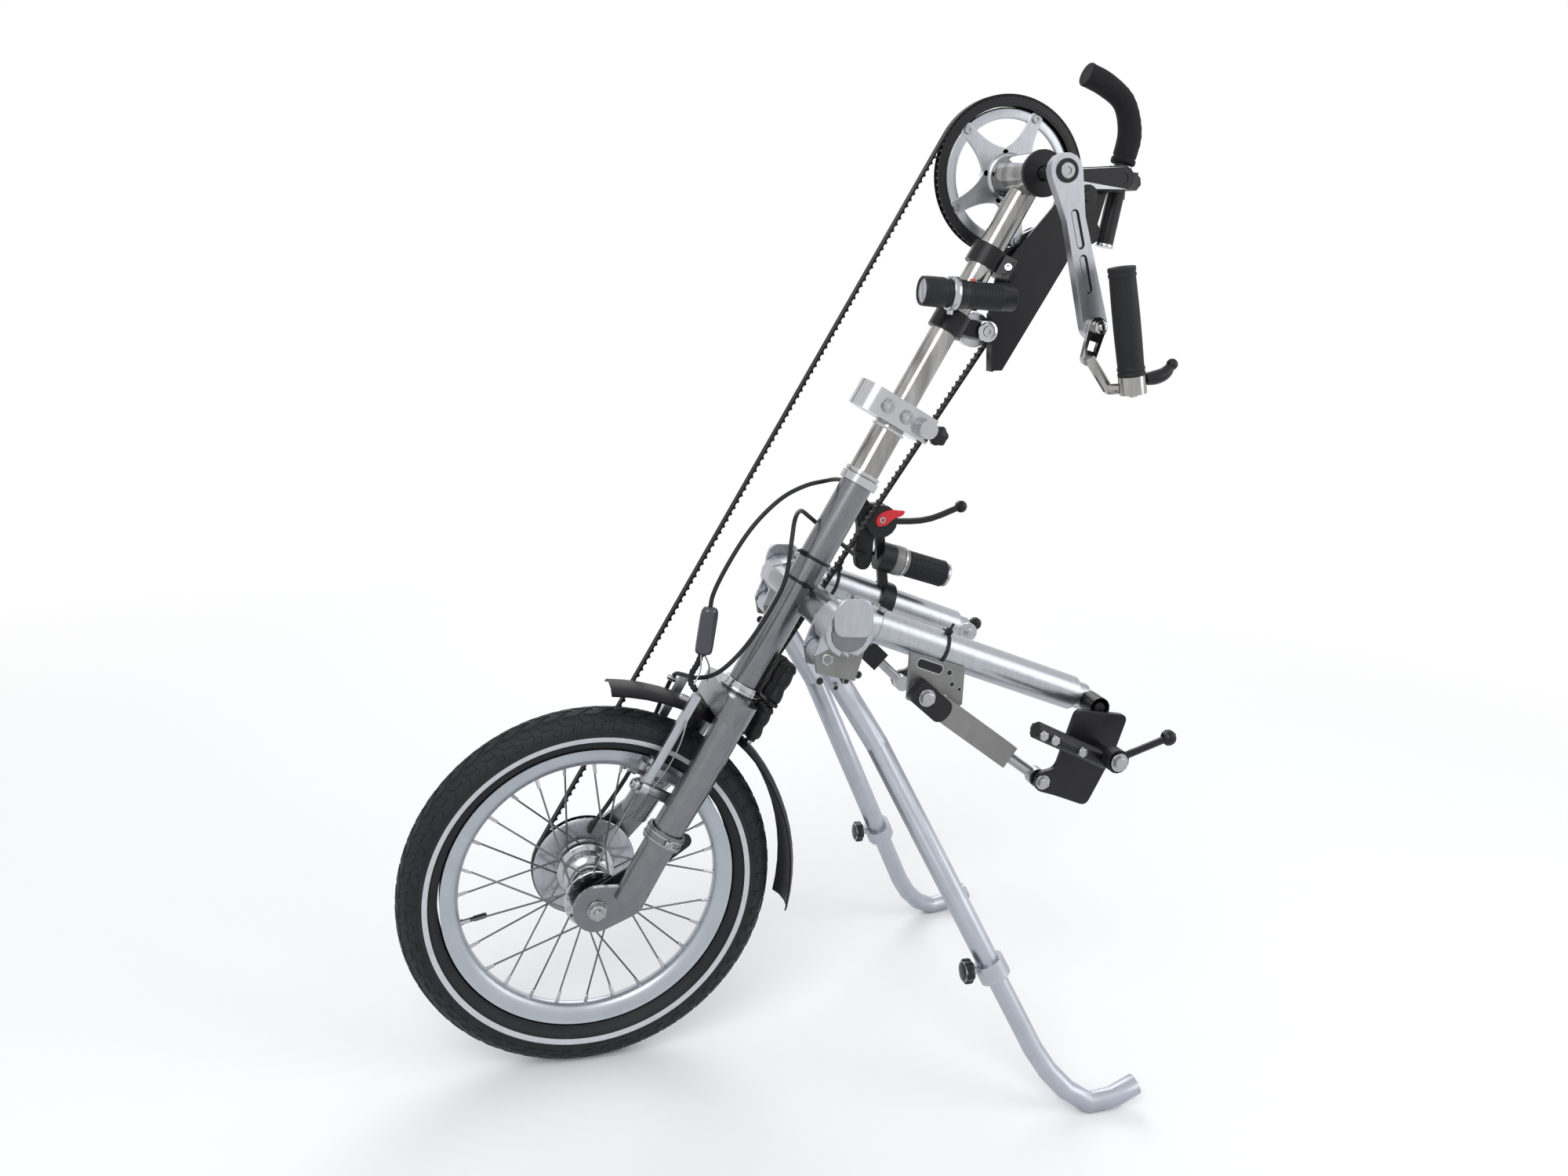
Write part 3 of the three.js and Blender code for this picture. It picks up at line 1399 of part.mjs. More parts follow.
function makeArmClamp(side) {
  const inside = side * (armY - armClampWide / 2);
  const outside = side * (armY + armClampWide / 2);
  const shell = crossRadius + gap + armClampWall;
  const ring = rod(V(crossX, inside, crossZ), V(crossX, outside, crossZ), shell, 16);
  const boss = rod(armPoint(side, armBossStart), armPoint(side, armStart), sleeveRadius, 16);
  const spigotEnd = armPoint(side, armStart + spigotLong);
  const spigot = rod(armPoint(side, armStart - overrun), spigotEnd, slideRadius, 16);
  const cheeks = [-1, 1].map((step) => {
    const y = side * legY + step * (legEyeRadius + gap + cheekThick / 2 + lip);
    const corners = cheekCorners.map(([x, z]) => [legPivotX + x, legPivotZ + z]);
    return sheet(outline(corners), y - cheekThick / 2, y + cheekThick / 2);
  });
  const pin = rod(
    V(legPivotX, side * legY - cheekReach, legPivotZ),
    V(legPivotX, side * legY + cheekReach, legPivotZ),
    screwRadius,
    10,
  );
  const boreFrom = side * armY - armClampWide;
  const bore = crossRod(crossX, crossZ, boreFrom, boreFrom + 2 * armClampWide, crossRadius + gap, 16);
  const bow = tube(farBow(), farCrossRadius + gap, 12, 10);
  const eyeReach = legEyeRadius + gap;
  const eyeRoom = rod(
    V(legPivotX, side * legY - eyeReach, legPivotZ),
    V(legPivotX, side * legY + eyeReach, legPivotZ),
    eyeReach,
    12,
  );
  return join(cut(join(ring, boss, ...cheeks), bore, bow, eyeRoom), cut(spigot, bore), pin);
}

function hangerOutline() {
  return outline(hangerCorners.map(([along, lift]) => [
    strutPivotX + along,
    strutPivotZ + lift,
  ]));
}

function leverRing(grow) {
  const from = armPoint(1, armStart + leverFoot - leverRingHalf - grow);
  const to = armPoint(1, armStart + leverFoot + leverRingHalf + grow);
  return rod(from, to, sleeveRadius + collarWall + grow, 18);
}

function makeSleeve(side, shorter) {
  const tubeEnd = armPoint(side, armStart + sleeveLong - shorter);
  const tubePart = rod(armPoint(side, armStart + gap), tubeEnd, sleeveRadius, 18);
  const faceA = side * (hangerY - hangerThick);
  const faceB = side * hangerY;
  const whole = sheet(hangerOutline(), Math.min(faceA, faceB), Math.max(faceA, faceB));
  const plate = side > 0 ? cut(whole, leverRing(gap)) : whole;
  const boreEnd = armPoint(side, armStart + sleeveLong + shaftReach);
  const bore = rod(armPoint(side, -armStart), boreEnd, sleeveBore, 18);
  const slotEnd = V(strutPivotX, 0, strutPivotZ).addScaledVector(armDirection, armTravel);
  const slotRoom = screwRadius + strutSlotPlay;
  const slotFaces = [side * (hangerY - 2 * hangerThick), side * (hangerY + hangerThick)];
  const slot = sheet(
    roundedBar(strutPivotX, strutPivotZ, slotRoom, slotEnd.x, slotEnd.z, slotRoom),
    Math.min(...slotFaces),
    Math.max(...slotFaces),
    3,
  );
  return cut(join(tubePart, plate), bore, slot);
}

function makeSlide(side, pulledIn) {
  const eye = armPoint(side, armStart + slideEye - pulledIn);
  const start = armPoint(side, armStart + slideEye - slideInside);
  const tubePart = rod(start, eye, slideRadius, 18);
  const across = V(0, 1, 0);
  const ring = rod(
    eye.clone().addScaledVector(across, -eyeWide / 2),
    eye.clone().addScaledVector(across, eyeWide / 2),
    eyeRadius,
    16,
  );
  const outerFace = side * (armY + eyeWide / 2);
  const pin = crossRod(eye.x, eye.z, side * armY, outerFace + side * pinReach, pivotRadius, 12);
  return join(tubePart, ring, pin);
}

armSides.forEach(([name, side]) => {
  place(chassis, `${name}_arm_clamp`, makeArmClamp(side), 'alloy');
  place(chassis, `${name}_arm_sleeve`, makeSleeve(side, side > 0 ? farSlideIn : 0), 'alloy');
  place(chassis, `${name}_arm_slide`, makeSlide(side, side > 0 ? farSlideIn : 0), 'alloy');
});

// Stand legs: an upper tube that folds at the cheeks, and a lower tube that slides in it

function legLine(side) {
  const joint = V(legJointX, side * legJointY, legJointZ);
  const ring = V(legRingX, side * legRingY, legRingZ);
  return { joint, ring, down: ring.clone().sub(joint).normalize() };
}

function makeLegUpper(side) {
  const { joint, ring, down } = legLine(side);
  const pivot = V(legPivotX, side * legY, legPivotZ);
  const eye = rod(
    V(legPivotX, side * legY - legEyeRadius, legPivotZ),
    V(legPivotX, side * legY + legEyeRadius, legPivotZ),
    legEyeRadius - lip,
    12,
  );
  const top = rod(pivot, joint, legUpperRadius, 10);
  const elbow = ball(joint, legUpperRadius + lip, 6);
  const long = rod(joint, ring.clone().addScaledVector(down, legRingHigh / 2), legUpperRadius, 12);
  const collarShape = rod(
    ring.clone().addScaledVector(down, -legRingHigh / 2),
    ring.clone().addScaledVector(down, legRingHigh / 2),
    legUpperRadius + legRingWall,
    12,
  );
  const front = ring.clone().add(V(-legKnobReach, 0, 0));
  const head = rod(front, front.clone().add(V(screwHead, 0, 0)), screwHead * knobShare, 10);
  const knob = join(rod(ring, front, screwRadius, 8), head);
  const boreStart = joint.clone().addScaledVector(down, legBoreStart);
  const bore = rod(boreStart, ring.clone().addScaledVector(down, legRingHigh), legTubeBore, 12);
  const pin = crossRod(legPivotX, legPivotZ, -2 * shaftReach, 2 * shaftReach, screwRadius + gap, 10);
  return cut(join(eye, top, elbow, long, collarShape, knob), bore, pin);
}

function makeLegLower(side) {
  const { joint, ring, down } = legLine(side);
  const start = joint.clone().addScaledVector(down, legBoreStart + legInside);
  const knee = ring.clone().addScaledVector(down, legKnee);
  const route = bentLine([
    start,
    knee,
    V(footX, side * footY, legLowerRadius - footFlat - footDip),
    V(footTipX, side * footY, footTipZ),
  ], footBend);
  const leg = tube(route, legLowerRadius, 12, 14);
  const ground = block(V(footX, side * footY, -shaftReach / 2), V(shaftReach * 2, shaftReach, shaftReach));
  return cut(leg, ground);
}

armSides.forEach(([name, side]) => {
  place(chassis, `${name}_leg_upper`, makeLegUpper(side), 'alloy');
  place(chassis, `${name}_leg_lower`, makeLegLower(side), 'alloy');
});

// Chair clamps: a plate on the arm's eye, a jaw bar, a clamp lever, and a strut that steadies it

function clampOutline(eye) {
  return outline(clampCorners.map(([x, z]) => [eye.x + x, eye.z + z]));
}

function slideEyePoint(side) {
  return armPoint(side, armStart + slideEye - (side > 0 ? farSlideIn : 0));
}

function makeChairClamp(side) {
  const eye = slideEyePoint(side);
  const inner = side * (armY + eyeWide / 2 + gap);
  const plateA = side * (clampPlateY - clampPlateThick / 2);
  const plateB = side * (clampPlateY + clampPlateThick / 2);
  const plate = sheet(clampOutline(eye), Math.min(plateA, plateB), Math.max(plateA, plateB));
  const neck = rod(V(eye.x, inner, eye.z), V(eye.x, plateA, eye.z), eyeRadius, 14);
  const bar = rod(
    V(eye.x + jawTopX, side * jawY, eye.z + jawTopZ),
    V(eye.x + jawLowX, side * jawY, eye.z + jawLowZ),
    jawBarRadius,
    10,
  );
  const stud = rod(
    V(eye.x + jawLowX, plateA, eye.z + jawLowZ + jawBarRadius),
    V(eye.x + jawLowX, side * (leverY - leverHubHigh / 2 - gap), eye.z + jawLowZ + jawBarRadius),
    pivotRadius,
    10,
  );
  const rodStud = rod(
    V(eye.x + rodEyeBackX, side * (strutY + strutRodRadius + gap), eye.z + rodEyeBackZ),
    V(eye.x + rodEyeBackX, plateA, eye.z + rodEyeBackZ),
    screwRadius,
    8,
  );
  const holeEnd = side * (armY + eyeWide / 2 + pinReach + gap);
  const hole = crossRod(eye.x, eye.z, 0, holeEnd, pivotRadius + gap, 12);
  return join(cut(join(neck, plate), hole), bar, stud, rodStud);
}

function makeClampLever(side) {
  const eye = slideEyePoint(side);
  const hub = V(eye.x + jawLowX, side * leverY, eye.z + jawLowZ + jawBarRadius);
  const high = V(0, leverHubHigh / 2, 0);
  const disc = rod(hub.clone().sub(high), hub.clone().add(high), leverHubRadius, 14);
  const knob = hub.clone().add(V(leverReachX, 0, leverReachZ));
  return join(disc, rod(hub, knob, leverRodRadius, 8), ball(knob, leverKnobRadius, 10));
}

// The strut: a box that turns on the hanger plate, and the rod that slides in it
function strutLine(side) {
  const low = slideEyePoint(side).add(V(rodEyeBackX, 0, rodEyeBackZ));
  const top = V(strutPivotX, side * strutY, strutPivotZ);
  const end = V(low.x, side * strutY, low.z);
  return { top, end, down: end.clone().sub(top).normalize(), boxLong: top.distanceTo(end) - strutShown };
}

function strutSolid(side, from, to, wide, high) {
  const { top, down } = strutLine(side);
  const middle = top.clone().addScaledVector(down, (from + to) / 2);
  return block(middle, V(to - from, wide, high), Math.atan2(-down.z, down.x));
}

function makeStrutBox(side) {
  const { top, down, boxLong } = strutLine(side);
  const box = strutSolid(side, 0, boxLong, strutBoxWide, strutBoxHigh);
  const neck = rod(
    V(top.x, side * (hangerY + gap), top.z),
    V(top.x, side * strutY, top.z),
    strutBoxHigh / 2,
    12,
  );
  const bore = rod(
    top.clone().addScaledVector(down, strutBoxHigh / 2),
    top.clone().addScaledVector(down, boxLong + overrun),
    strutRodRadius + gap,
    10,
  );
  return cut(join(box, neck), bore);
}

function makeStrutRod(side) {
  const { top, end, down } = strutLine(side);
  const start = top.clone().addScaledVector(down, strutBoxHigh / 2 + strutClear);
  const long = rod(start, end, strutRodRadius, 10);
  const reach = V(0, strutRodRadius, 0);
  const eye = rod(end.clone().sub(reach), end.clone().add(reach), strutRodRadius * rodEyeShare, 12);
  return join(long, eye);
}

armSides.forEach(([name, side]) => {
  place(chassis, `${name}_chair_clamp`, makeChairClamp(side), 'black');
  place(chassis, `${name}_clamp_lever`, makeClampLever(side), 'black');
  place(chassis, `${name}_strut_box`, makeStrutBox(side), 'grey');
  place(chassis, `${name}_strut_rod`, makeStrutRod(side), 'chrome');
});

// Hand lever set on the far arm: bracket, hood, brake lever, lock lever and twist shifter

function makeLeverBracket() {
  const foot = armPoint(1, armStart + leverFoot);
  const ring = leverRing(0);
  const bore = rod(armPoint(1, armStart), armPoint(1, armStart + sleeveLong / 2), sleeveRadius + gap, 18);
  const neckTop = V(leverPivotX, leverSetY, leverPivotZ);
  const strip = block(
    V((foot.x + neckTop.x) / 2, leverSetY, (foot.z + neckTop.z) / 2),
    V(leverStripWide, 6, foot.distanceTo(neckTop)),
    Math.atan2(neckTop.x - foot.x, neckTop.z - foot.z),
  );
  const hoodFrom = leverSetY - hoodWide / 2;
  const hoodTo = leverSetY + hoodWide / 2;
  const hood = crossRod(leverPivotX, leverPivotZ, hoodFrom, hoodTo, hoodRadius, 16);
  const slotLeft = leverPivotX - leverThick - overrun;
  const slotLow = leverPivotZ - leverThick - overrun * 2;
  const slotSize = V(2 * hoodRadius, leverThick + 2 * gap, 2 * hoodRadius);
  const slot = block(V(slotLeft + slotSize.x / 2, leverSetY, slotLow + slotSize.z / 2), slotSize);
  const { start, end } = shifterAxis();
  const root = start.clone().addScaledVector(end.clone().sub(start).normalize(), -shifterStart);
  const core = rod(root, end, shifterCore, shifterSides);
  const stops = rod(root, start, shifterRadius + shifterStopRise, 14);
  const pin = crossRod(leverPivotX, leverPivotZ, hoodFrom, hoodTo, screwRadius, 10);
  return join(cut(join(ring, strip, hood), slot, bore), core, stops, pin);
}

function shifterAxis() {
  const start = V(shifterRootX, leverSetY, shifterRootZ);
  const direction = V(Math.cos(shifterDrop), 0, -Math.sin(shifterDrop));
  const end = start.clone().addScaledVector(direction, shifterLong);
  return { start, end };
}

function makeBrakeLever() {
  const root = V(leverPivotX, leverSetY, leverPivotZ);
  const shape = leverShares.map(([x, z]) => V(root.x + x * leverLong, leverSetY, root.z + z * leverLong));
  const blade = tube(new THREE.CatmullRomCurve3(shape), leverThick * leverBladeShare, 8, 8);
  const half = V(0, leverThick / 2, 0);
  const eye = rod(root.clone().sub(half), root.clone().add(half), leverThick, 12);
  const tip = ball(shape[shape.length - 1], leverBall, 10);
  const hole = rod(V(root.x, 0, root.z), V(root.x, 2 * shaftReach, root.z), screwRadius + gap, 10);
  return cut(join(eye, blade, tip), hole);
}

function makeLockLever() {
  const y = leverSetY - hoodWide / 2 - gap;
  const root = V(leverPivotX, y - lockThick, leverPivotZ + lockRise);
  const tip = root.clone().add(V(lockLong, 0, lockLift));
  const blade = roundedBar(root.x, root.z, lockRadius, tip.x, tip.z, lockRadius * lockTipShare);
  return sheet(blade, y - lockThick, y, 3);
}

function makeShifterGrip() {
  const { start, end } = shifterAxis();
  const direction = end.clone().sub(start).normalize();
  const from = start.clone().addScaledVector(direction, gap);
  const to = end.clone().addScaledVector(direction, -overrun);
  const boreRadius = (shifterCore + gap) / Math.cos(Math.PI / shifterSides);
  return cut(rod(from, to, shifterRadius, 16), rod(start, end, boreRadius, shifterSides));
}

place(chassis, 'lever_bracket', makeLeverBracket(), 'black');
place(chassis, 'brake_lever', makeBrakeLever(), 'black');
place(chassis, 'lock_lever', makeLockLever(), 'red');
place(chassis, 'shifter_grip', makeShifterGrip(), 'rubber');

// Cables, whole along their real routes, and the splitter in the brake cable

function cablePath(points) {
  return new THREE.CatmullRomCurve3(points.map(([x, y, z]) => V(x, y, z)));
}

function makeSplitter() {
  const top = V(...splitterTop);
  const low = V(...splitterLow);
  const barrel = rod(low, top, splitterRadius, 12);
  return join(barrel, tube(cablePath(noodlePoints), cableRadius, 8, 8));
}

place(chassis, 'brake_cable', tube(cablePath(brakeCablePoints), cableRadius, 6, 24), 'black');
place(chassis, 'cable_splitter', makeSplitter(), 'grey');
place(chassis, 'gear_cable', tube(cablePath(gearCablePoints), cableRadius, 6, 38), 'black');

// The origin goes to the middle of the footprint, on the ground

const reach = new THREE.Box3().setFromObject(model, true);
const middle = reach.getCenter(V(0, 0, 0));
model.position.set(-middle.x, -middle.y, -reach.min.z);
const handcycle = new THREE.Group();
handcycle.add(model);

export default handcycle;
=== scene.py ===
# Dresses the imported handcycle: materials and detail for every piece, the camera, floor and light.
# Lengths are in metres in the model's frame, whose middle lies behind the wheel's axle. Points
# in millimetres are counted from the ground under that axle, as in the part's own source.

import json
import math

import bmesh
import bpy
from mathutils import Matrix, Vector


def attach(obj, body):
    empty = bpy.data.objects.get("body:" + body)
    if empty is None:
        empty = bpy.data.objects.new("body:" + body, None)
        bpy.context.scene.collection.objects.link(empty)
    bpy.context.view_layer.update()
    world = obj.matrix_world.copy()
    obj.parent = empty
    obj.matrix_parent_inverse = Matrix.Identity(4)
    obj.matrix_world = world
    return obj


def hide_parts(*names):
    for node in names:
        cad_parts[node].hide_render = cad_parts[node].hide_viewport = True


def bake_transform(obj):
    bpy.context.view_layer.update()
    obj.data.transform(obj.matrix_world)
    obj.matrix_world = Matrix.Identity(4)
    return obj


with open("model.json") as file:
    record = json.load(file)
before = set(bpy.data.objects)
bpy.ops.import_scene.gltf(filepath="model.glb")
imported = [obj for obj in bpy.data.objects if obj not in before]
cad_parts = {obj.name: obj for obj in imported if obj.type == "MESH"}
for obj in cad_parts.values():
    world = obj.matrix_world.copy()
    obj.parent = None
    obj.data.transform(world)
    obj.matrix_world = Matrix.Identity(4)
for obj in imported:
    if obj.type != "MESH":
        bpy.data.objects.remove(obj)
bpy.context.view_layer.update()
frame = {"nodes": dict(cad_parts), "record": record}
nodes = frame["nodes"]
body_of_node = {n: b for b, ns in frame["record"]["behaviour"]["bodies"].items() for n in ns}

# The wheel's axle, the steering axis and the directions that all the pieces share

AXLE_X = 238.39
LEAN = math.radians(27.76)
WHEEL_R = 202.5
RAKE = 40.85
SIDES = (("near", -1), ("far", 1))
ACROSS = Vector((math.cos(LEAN), 0, -math.sin(LEAN)))
UP = Vector((math.sin(LEAN), 0, math.cos(LEAN)))
SIDE = Vector((0, 1, 0))


def mm(x, y, z):
    """A place given in mm, x counted from the wheel's axle and z from the ground."""
    return Vector((x - AXLE_X, y, z)) / 1000


AXLE = mm(0, 0, WHEEL_R)
STEER = AXLE + ACROSS * RAKE / 1000


def on(u, y, w):
    """A place in mm across, beside and up along the steering axis."""
    return STEER + (ACROSS * u + SIDE * y + UP * w) / 1000


# Camera and stage

CAMERA_AT = (-200.5, -1328.7, 877.5)
YAW, PITCH, ROLL = 0.330, 0.146, 0.062
FILM = 36
FOCAL_SHARE = 1632.3 / 2000
SHIFT_X, SHIFT_Y = -0.0325, -0.0782
FLOOR_R = 14
FADE_FROM, FADE_TO = 0.9, 2.6
SKY_COLOUR, SKY_LEVEL = (0.95, 0.97, 1, 1), 0.62
LAMPS = (("key", (-1.6, -2.6, 3.0), 2.6, 62, (0, 0, 0.5)),
         ("fill", (2.4, -1.6, 1.6), 2.2, 22, (0, 0, 0.5)),
         ("rim_light", (0.6, 2.6, 2.4), 2.4, 34, (0, 0, 0.6)))


def make_camera():
    ahead = Vector((math.sin(YAW) * math.cos(PITCH), math.cos(YAW) * math.cos(PITCH), -math.sin(PITCH)))
    level = Vector((math.cos(YAW), -math.sin(YAW), 0))
    top = level.cross(ahead)
    right = level * math.cos(ROLL) + top * math.sin(ROLL)
    up = right.cross(ahead)
    data = bpy.data.cameras.new("camera")
    data.lens = FOCAL_SHARE * FILM
    data.sensor_width = FILM
    data.shift_x, data.shift_y = SHIFT_X, SHIFT_Y
    data.clip_start, data.clip_end = 0.05, 60
    cam = bpy.data.objects.new("camera", data)
    bpy.context.scene.collection.objects.link(cam)
    turn = Matrix((right, up, -ahead)).transposed().to_4x4()
    cam.matrix_world = Matrix.Translation(mm(*CAMERA_AT)) @ turn
    bpy.context.scene.camera = cam


def put(node, **values):
    """Sets a shader node's inputs; an underscore in a name stands for a space."""
    for key, value in values.items():
        node.inputs[key.replace("_", " ")].default_value = value


def add(tree, kind, **values):
    node = tree.nodes.new(kind)
    put(node, **values)
    return node


def join(tree, *pairs):
    for start, end in pairs:
        tree.links.new(start, end)


def make_world():
    """A soft sky that lights the object, plain white where it is seen or mirrored."""
    world = bpy.data.worlds.new("studio")
    world.use_nodes = True
    tree = world.node_tree
    tree.nodes.clear()
    out = add(tree, "ShaderNodeOutputWorld")
    path = add(tree, "ShaderNodeLightPath")
    lit = add(tree, "ShaderNodeBackground", Color=SKY_COLOUR, Strength=SKY_LEVEL)
    seen = add(tree, "ShaderNodeBackground", Color=(1, 1, 1, 1), Strength=1)
    first, second = add(tree, "ShaderNodeMath"), add(tree, "ShaderNodeMath")
    first.operation = second.operation = "MAXIMUM"
    mix = add(tree, "ShaderNodeMixShader")
    ray = path.outputs
    join(tree, (ray["Is Camera Ray"], first.inputs[0]), (ray["Is Glossy Ray"], first.inputs[1]),
         (first.outputs[0], second.inputs[0]), (ray["Is Transmission Ray"], second.inputs[1]),
         (second.outputs[0], mix.inputs[0]), (lit.outputs[0], mix.inputs[1]),
         (seen.outputs[0], mix.inputs[2]), (mix.outputs[0], out.inputs["Surface"]))
    bpy.context.scene.world = world


def add_lamp(name, where, size, power, aim):
    data = bpy.data.lights.new(name, "AREA")
    data.shape = "DISK"
    data.size = size
    data.energy = power
    lamp = bpy.data.objects.new(name, data)
    lamp.location = where
    lamp.rotation_euler = (Vector(aim) - Vector(where)).to_track_quat("-Z", "Y").to_euler()
    bpy.context.scene.collection.objects.link(lamp)


def fade_out(tree, shader):
    """Lets the floor turn into the plain white of the backdrop away from the object."""
    place = add(tree, "ShaderNodeTexCoord")
    reach = add(tree, "ShaderNodeVectorMath")
    reach.operation = "LENGTH"
    ranged = add(tree, "ShaderNodeMapRange", From_Min=FADE_FROM, From_Max=FADE_TO)
    ranged.interpolation_type = "SMOOTHSTEP"
    glow = add(tree, "ShaderNodeEmission")
    mix = add(tree, "ShaderNodeMixShader")
    join(tree, (place.outputs["Object"], reach.inputs[0]), (reach.outputs["Value"], ranged.inputs["Value"]),
         (ranged.outputs["Result"], mix.inputs[0]), (shader.outputs[0], mix.inputs[1]),
         (glow.outputs[0], mix.inputs[2]), (mix.outputs[0], tree.nodes["Material Output"].inputs["Surface"]))


def make_stage():
    bm = bmesh.new()
    bmesh.ops.create_circle(bm, cap_ends=True, segments=96, radius=FLOOR_R)
    mesh = bpy.data.meshes.new("floor")
    bm.to_mesh(mesh)
    bm.free()
    floor = bpy.data.objects.new("floor", mesh)
    bpy.context.scene.collection.objects.link(floor)
    mat = bpy.data.materials.new("floor_pale")
    mat.use_nodes = True
    shader = mat.node_tree.nodes["Principled BSDF"]
    put(shader, Base_Color=(0.96, 0.96, 0.96, 1), Roughness=0.9, Specular_IOR_Level=0.1)
    fade_out(mat.node_tree, shader)
    floor.data.materials.append(mat)
    for lamp in LAMPS:
        add_lamp(*lamp)


make_camera()
make_world()
make_stage()
bpy.context.scene.view_settings.view_transform = "Standard"


# Materials

COAT_ROUGH = 0.12
BROAD_SHARE = 0.09


def surface(name, colour, metal, rough, tone_and_reflection, grain, bump, spread, stretch=(1, 1, 1), coat=0.0, shine=0.5,
            depth=0.0002):
    """A material whose colour drifts in tone, its roughness by spread, and whose relief follows the grain; on
    the chrome the colour drift is painted reflection, light and dark streaks along the posts.
    """
    mat = bpy.data.materials.new(name)
    mat.use_nodes = True
    tree = mat.node_tree
    shader = tree.nodes["Principled BSDF"]
    put(shader, Metallic=metal, Coat_Weight=coat, Coat_Roughness=COAT_ROUGH, Specular_IOR_Level=shine)
    place = add(tree, "ShaderNodeTexCoord")
    scale = add(tree, "ShaderNodeMapping", Scale=stretch)
    join(tree, (place.outputs["Object"], scale.inputs["Vector"]))

    def noise(size, detail=3.0):
        node = add(tree, "ShaderNodeTexNoise", Scale=size, Detail=detail)
        join(tree, (scale.outputs["Vector"], node.inputs["Vector"]))
        return node

    broad, fine = noise(grain * BROAD_SHARE, 4.0), noise(grain)
    ramp = add(tree, "ShaderNodeValToRGB")
    low, high = ramp.color_ramp.elements
    low.position, high.position = 0.3, 0.7
    low.color = tuple(c * (1 - tone_and_reflection) for c in colour) + (1,)
    high.color = tuple(min(1, c * (1 + tone_and_reflection)) for c in colour) + (1,)
    ranged = add(tree, "ShaderNodeMapRange", To_Min=max(0.02, rough - spread), To_Max=min(1, rough + spread))
    relief = add(tree, "ShaderNodeBump", Strength=bump, Distance=depth)
    socket = shader.inputs
    join(tree, (broad.outputs["Fac"], ramp.inputs["Fac"]), (ramp.outputs["Color"], socket["Base Color"]),
         (fine.outputs["Fac"], ranged.inputs["Value"]), (ranged.outputs["Result"], socket["Roughness"]),
         (fine.outputs["Fac"], relief.inputs["Height"]), (relief.outputs["Normal"], socket["Normal"]))
    return mat


M = {
    "grey_paint": surface("grey_paint", (0.175, 0.183, 0.195), 0.92, 0.27, 0.06, 900, 0.1, 0.05, coat=0.3),
    "satin": surface("satin_alloy", (0.41, 0.43, 0.46), 0.95, 0.3, 0.06, 420, 0.06, 0.06, (6, 6, 1)),
    "leg": surface("anodised_leg", (0.42, 0.44, 0.49), 0.9, 0.38, 0.05, 500, 0.05, 0.05),
    "polished": surface("polished_alloy", (0.46, 0.47, 0.49), 1.0, 0.18, 0.08, 260, 0.05, 0.07),
    # The chrome's strong colour drift, stretched into streaks along the posts, is painted reflection: dark
    # and light bands for what the chrome mirrors.
    "chrome": surface("chromed_steel", (0.34, 0.335, 0.325), 1.0, 0.12, 0.45, 60, 0.02, 0.04, (9, 9, 0.4)),
    "steel": surface("zinc_steel", (0.36, 0.37, 0.38), 1.0, 0.28, 0.12, 380, 0.12, 0.1),
    "plate": surface("grey_plate", (0.20, 0.20, 0.20), 0.8, 0.4, 0.1, 520, 0.1, 0.08),
    "spoke": surface("spoke_steel", (0.16, 0.16, 0.17), 1.0, 0.28, 0.1, 300, 0.03, 0.05),
    "rim": surface("rim_alloy", (0.42, 0.45, 0.49), 0.85, 0.34, 0.04, 420, 0.05, 0.05),
    "black": surface("black_coat", (0.008, 0.008, 0.010), 0.0, 0.34, 0.2, 640, 0.12, 0.08, shine=0.28),
    "plastic": surface("black_plastic", (0.009, 0.010, 0.012), 0.0, 0.40, 0.15, 900, 0.14, 0.08, shine=0.28),
    "gloss": surface("gloss_plastic", (0.005, 0.005, 0.007), 0.0, 0.42, 0.2, 300, 0.04, 0.05, shine=0.08),
    "rubber": surface("soft_rubber", (0.010, 0.0105, 0.012), 0.0, 0.55, 0.18, 1200, 0.3, 0.08, shine=0.25),
    "foam": surface("foam_rubber", (0.009, 0.009, 0.011), 0.0, 0.75, 0.25, 2200, 0.6, 0.08, shine=0.2,
                    depth=0.0005),
    "tyre": surface("tyre_rubber", (0.012, 0.014, 0.016), 0.0, 0.55, 0.16, 700, 0.25, 0.1, shine=0.25),
    "stripe": surface("reflex_stripe", (0.50, 0.52, 0.55), 0.3, 0.38, 0.05, 900, 0.1, 0.06),
    "belt": surface("belt_rubber", (0.006, 0.006, 0.007), 0.0, 0.6, 0.2, 800, 0.2, 0.08, shine=0.2),
    "box": surface("warm_grey", (0.19, 0.19, 0.185), 0.3, 0.44, 0.08, 900, 0.12, 0.07, shine=0.35),
    "smoke": surface("smoke_plastic", (0.035, 0.038, 0.05), 0.0, 0.2, 0.25, 120, 0.03, 0.05, coat=0.25),
    "red": surface("red_plastic", (0.62, 0.010, 0.022), 0.0, 0.34, 0.08, 400, 0.06, 0.06),
    "lens": surface("clear_lens", (0.30, 0.32, 0.35), 0.0, 0.06, 0.04, 100, 0.02, 0.03, coat=0.5),
}

# The record's slot that each material stands for
SLOTS = {
    "frame_paint": ("grey_paint",),
    "black_frame": ("black",),
    "bright_steel": ("chrome",),
    "silver_alloy": ("satin", "leg", "polished", "rim"),
    "steel_parts": ("steel", "plate", "spoke"),
    "black_plastic": ("plastic", "gloss", "lens"),
    "red_plastic": ("red",),
    "grey_plastic": ("box", "smoke"),
    "tyre_rubber": ("tyre", "stripe"),
    "grip_rubber": ("rubber", "foam"),
    "belt_rubber": ("belt",),
}
SLOTS = {mat: slot for slot, mats in SLOTS.items() for mat in mats}


# Mesh helpers

SKIN_ANGLE = 34
FLAT_ANGLE = 0.6


def axes_for(direction):
    """Three square axes, the last of them along the direction."""
    z = Vector(direction).normalized()
    x = z.cross(Vector((0, 1, 0)) if abs(z.y) < 0.9 else Vector((1, 0, 0))).normalized()
    return x, z.cross(x), z


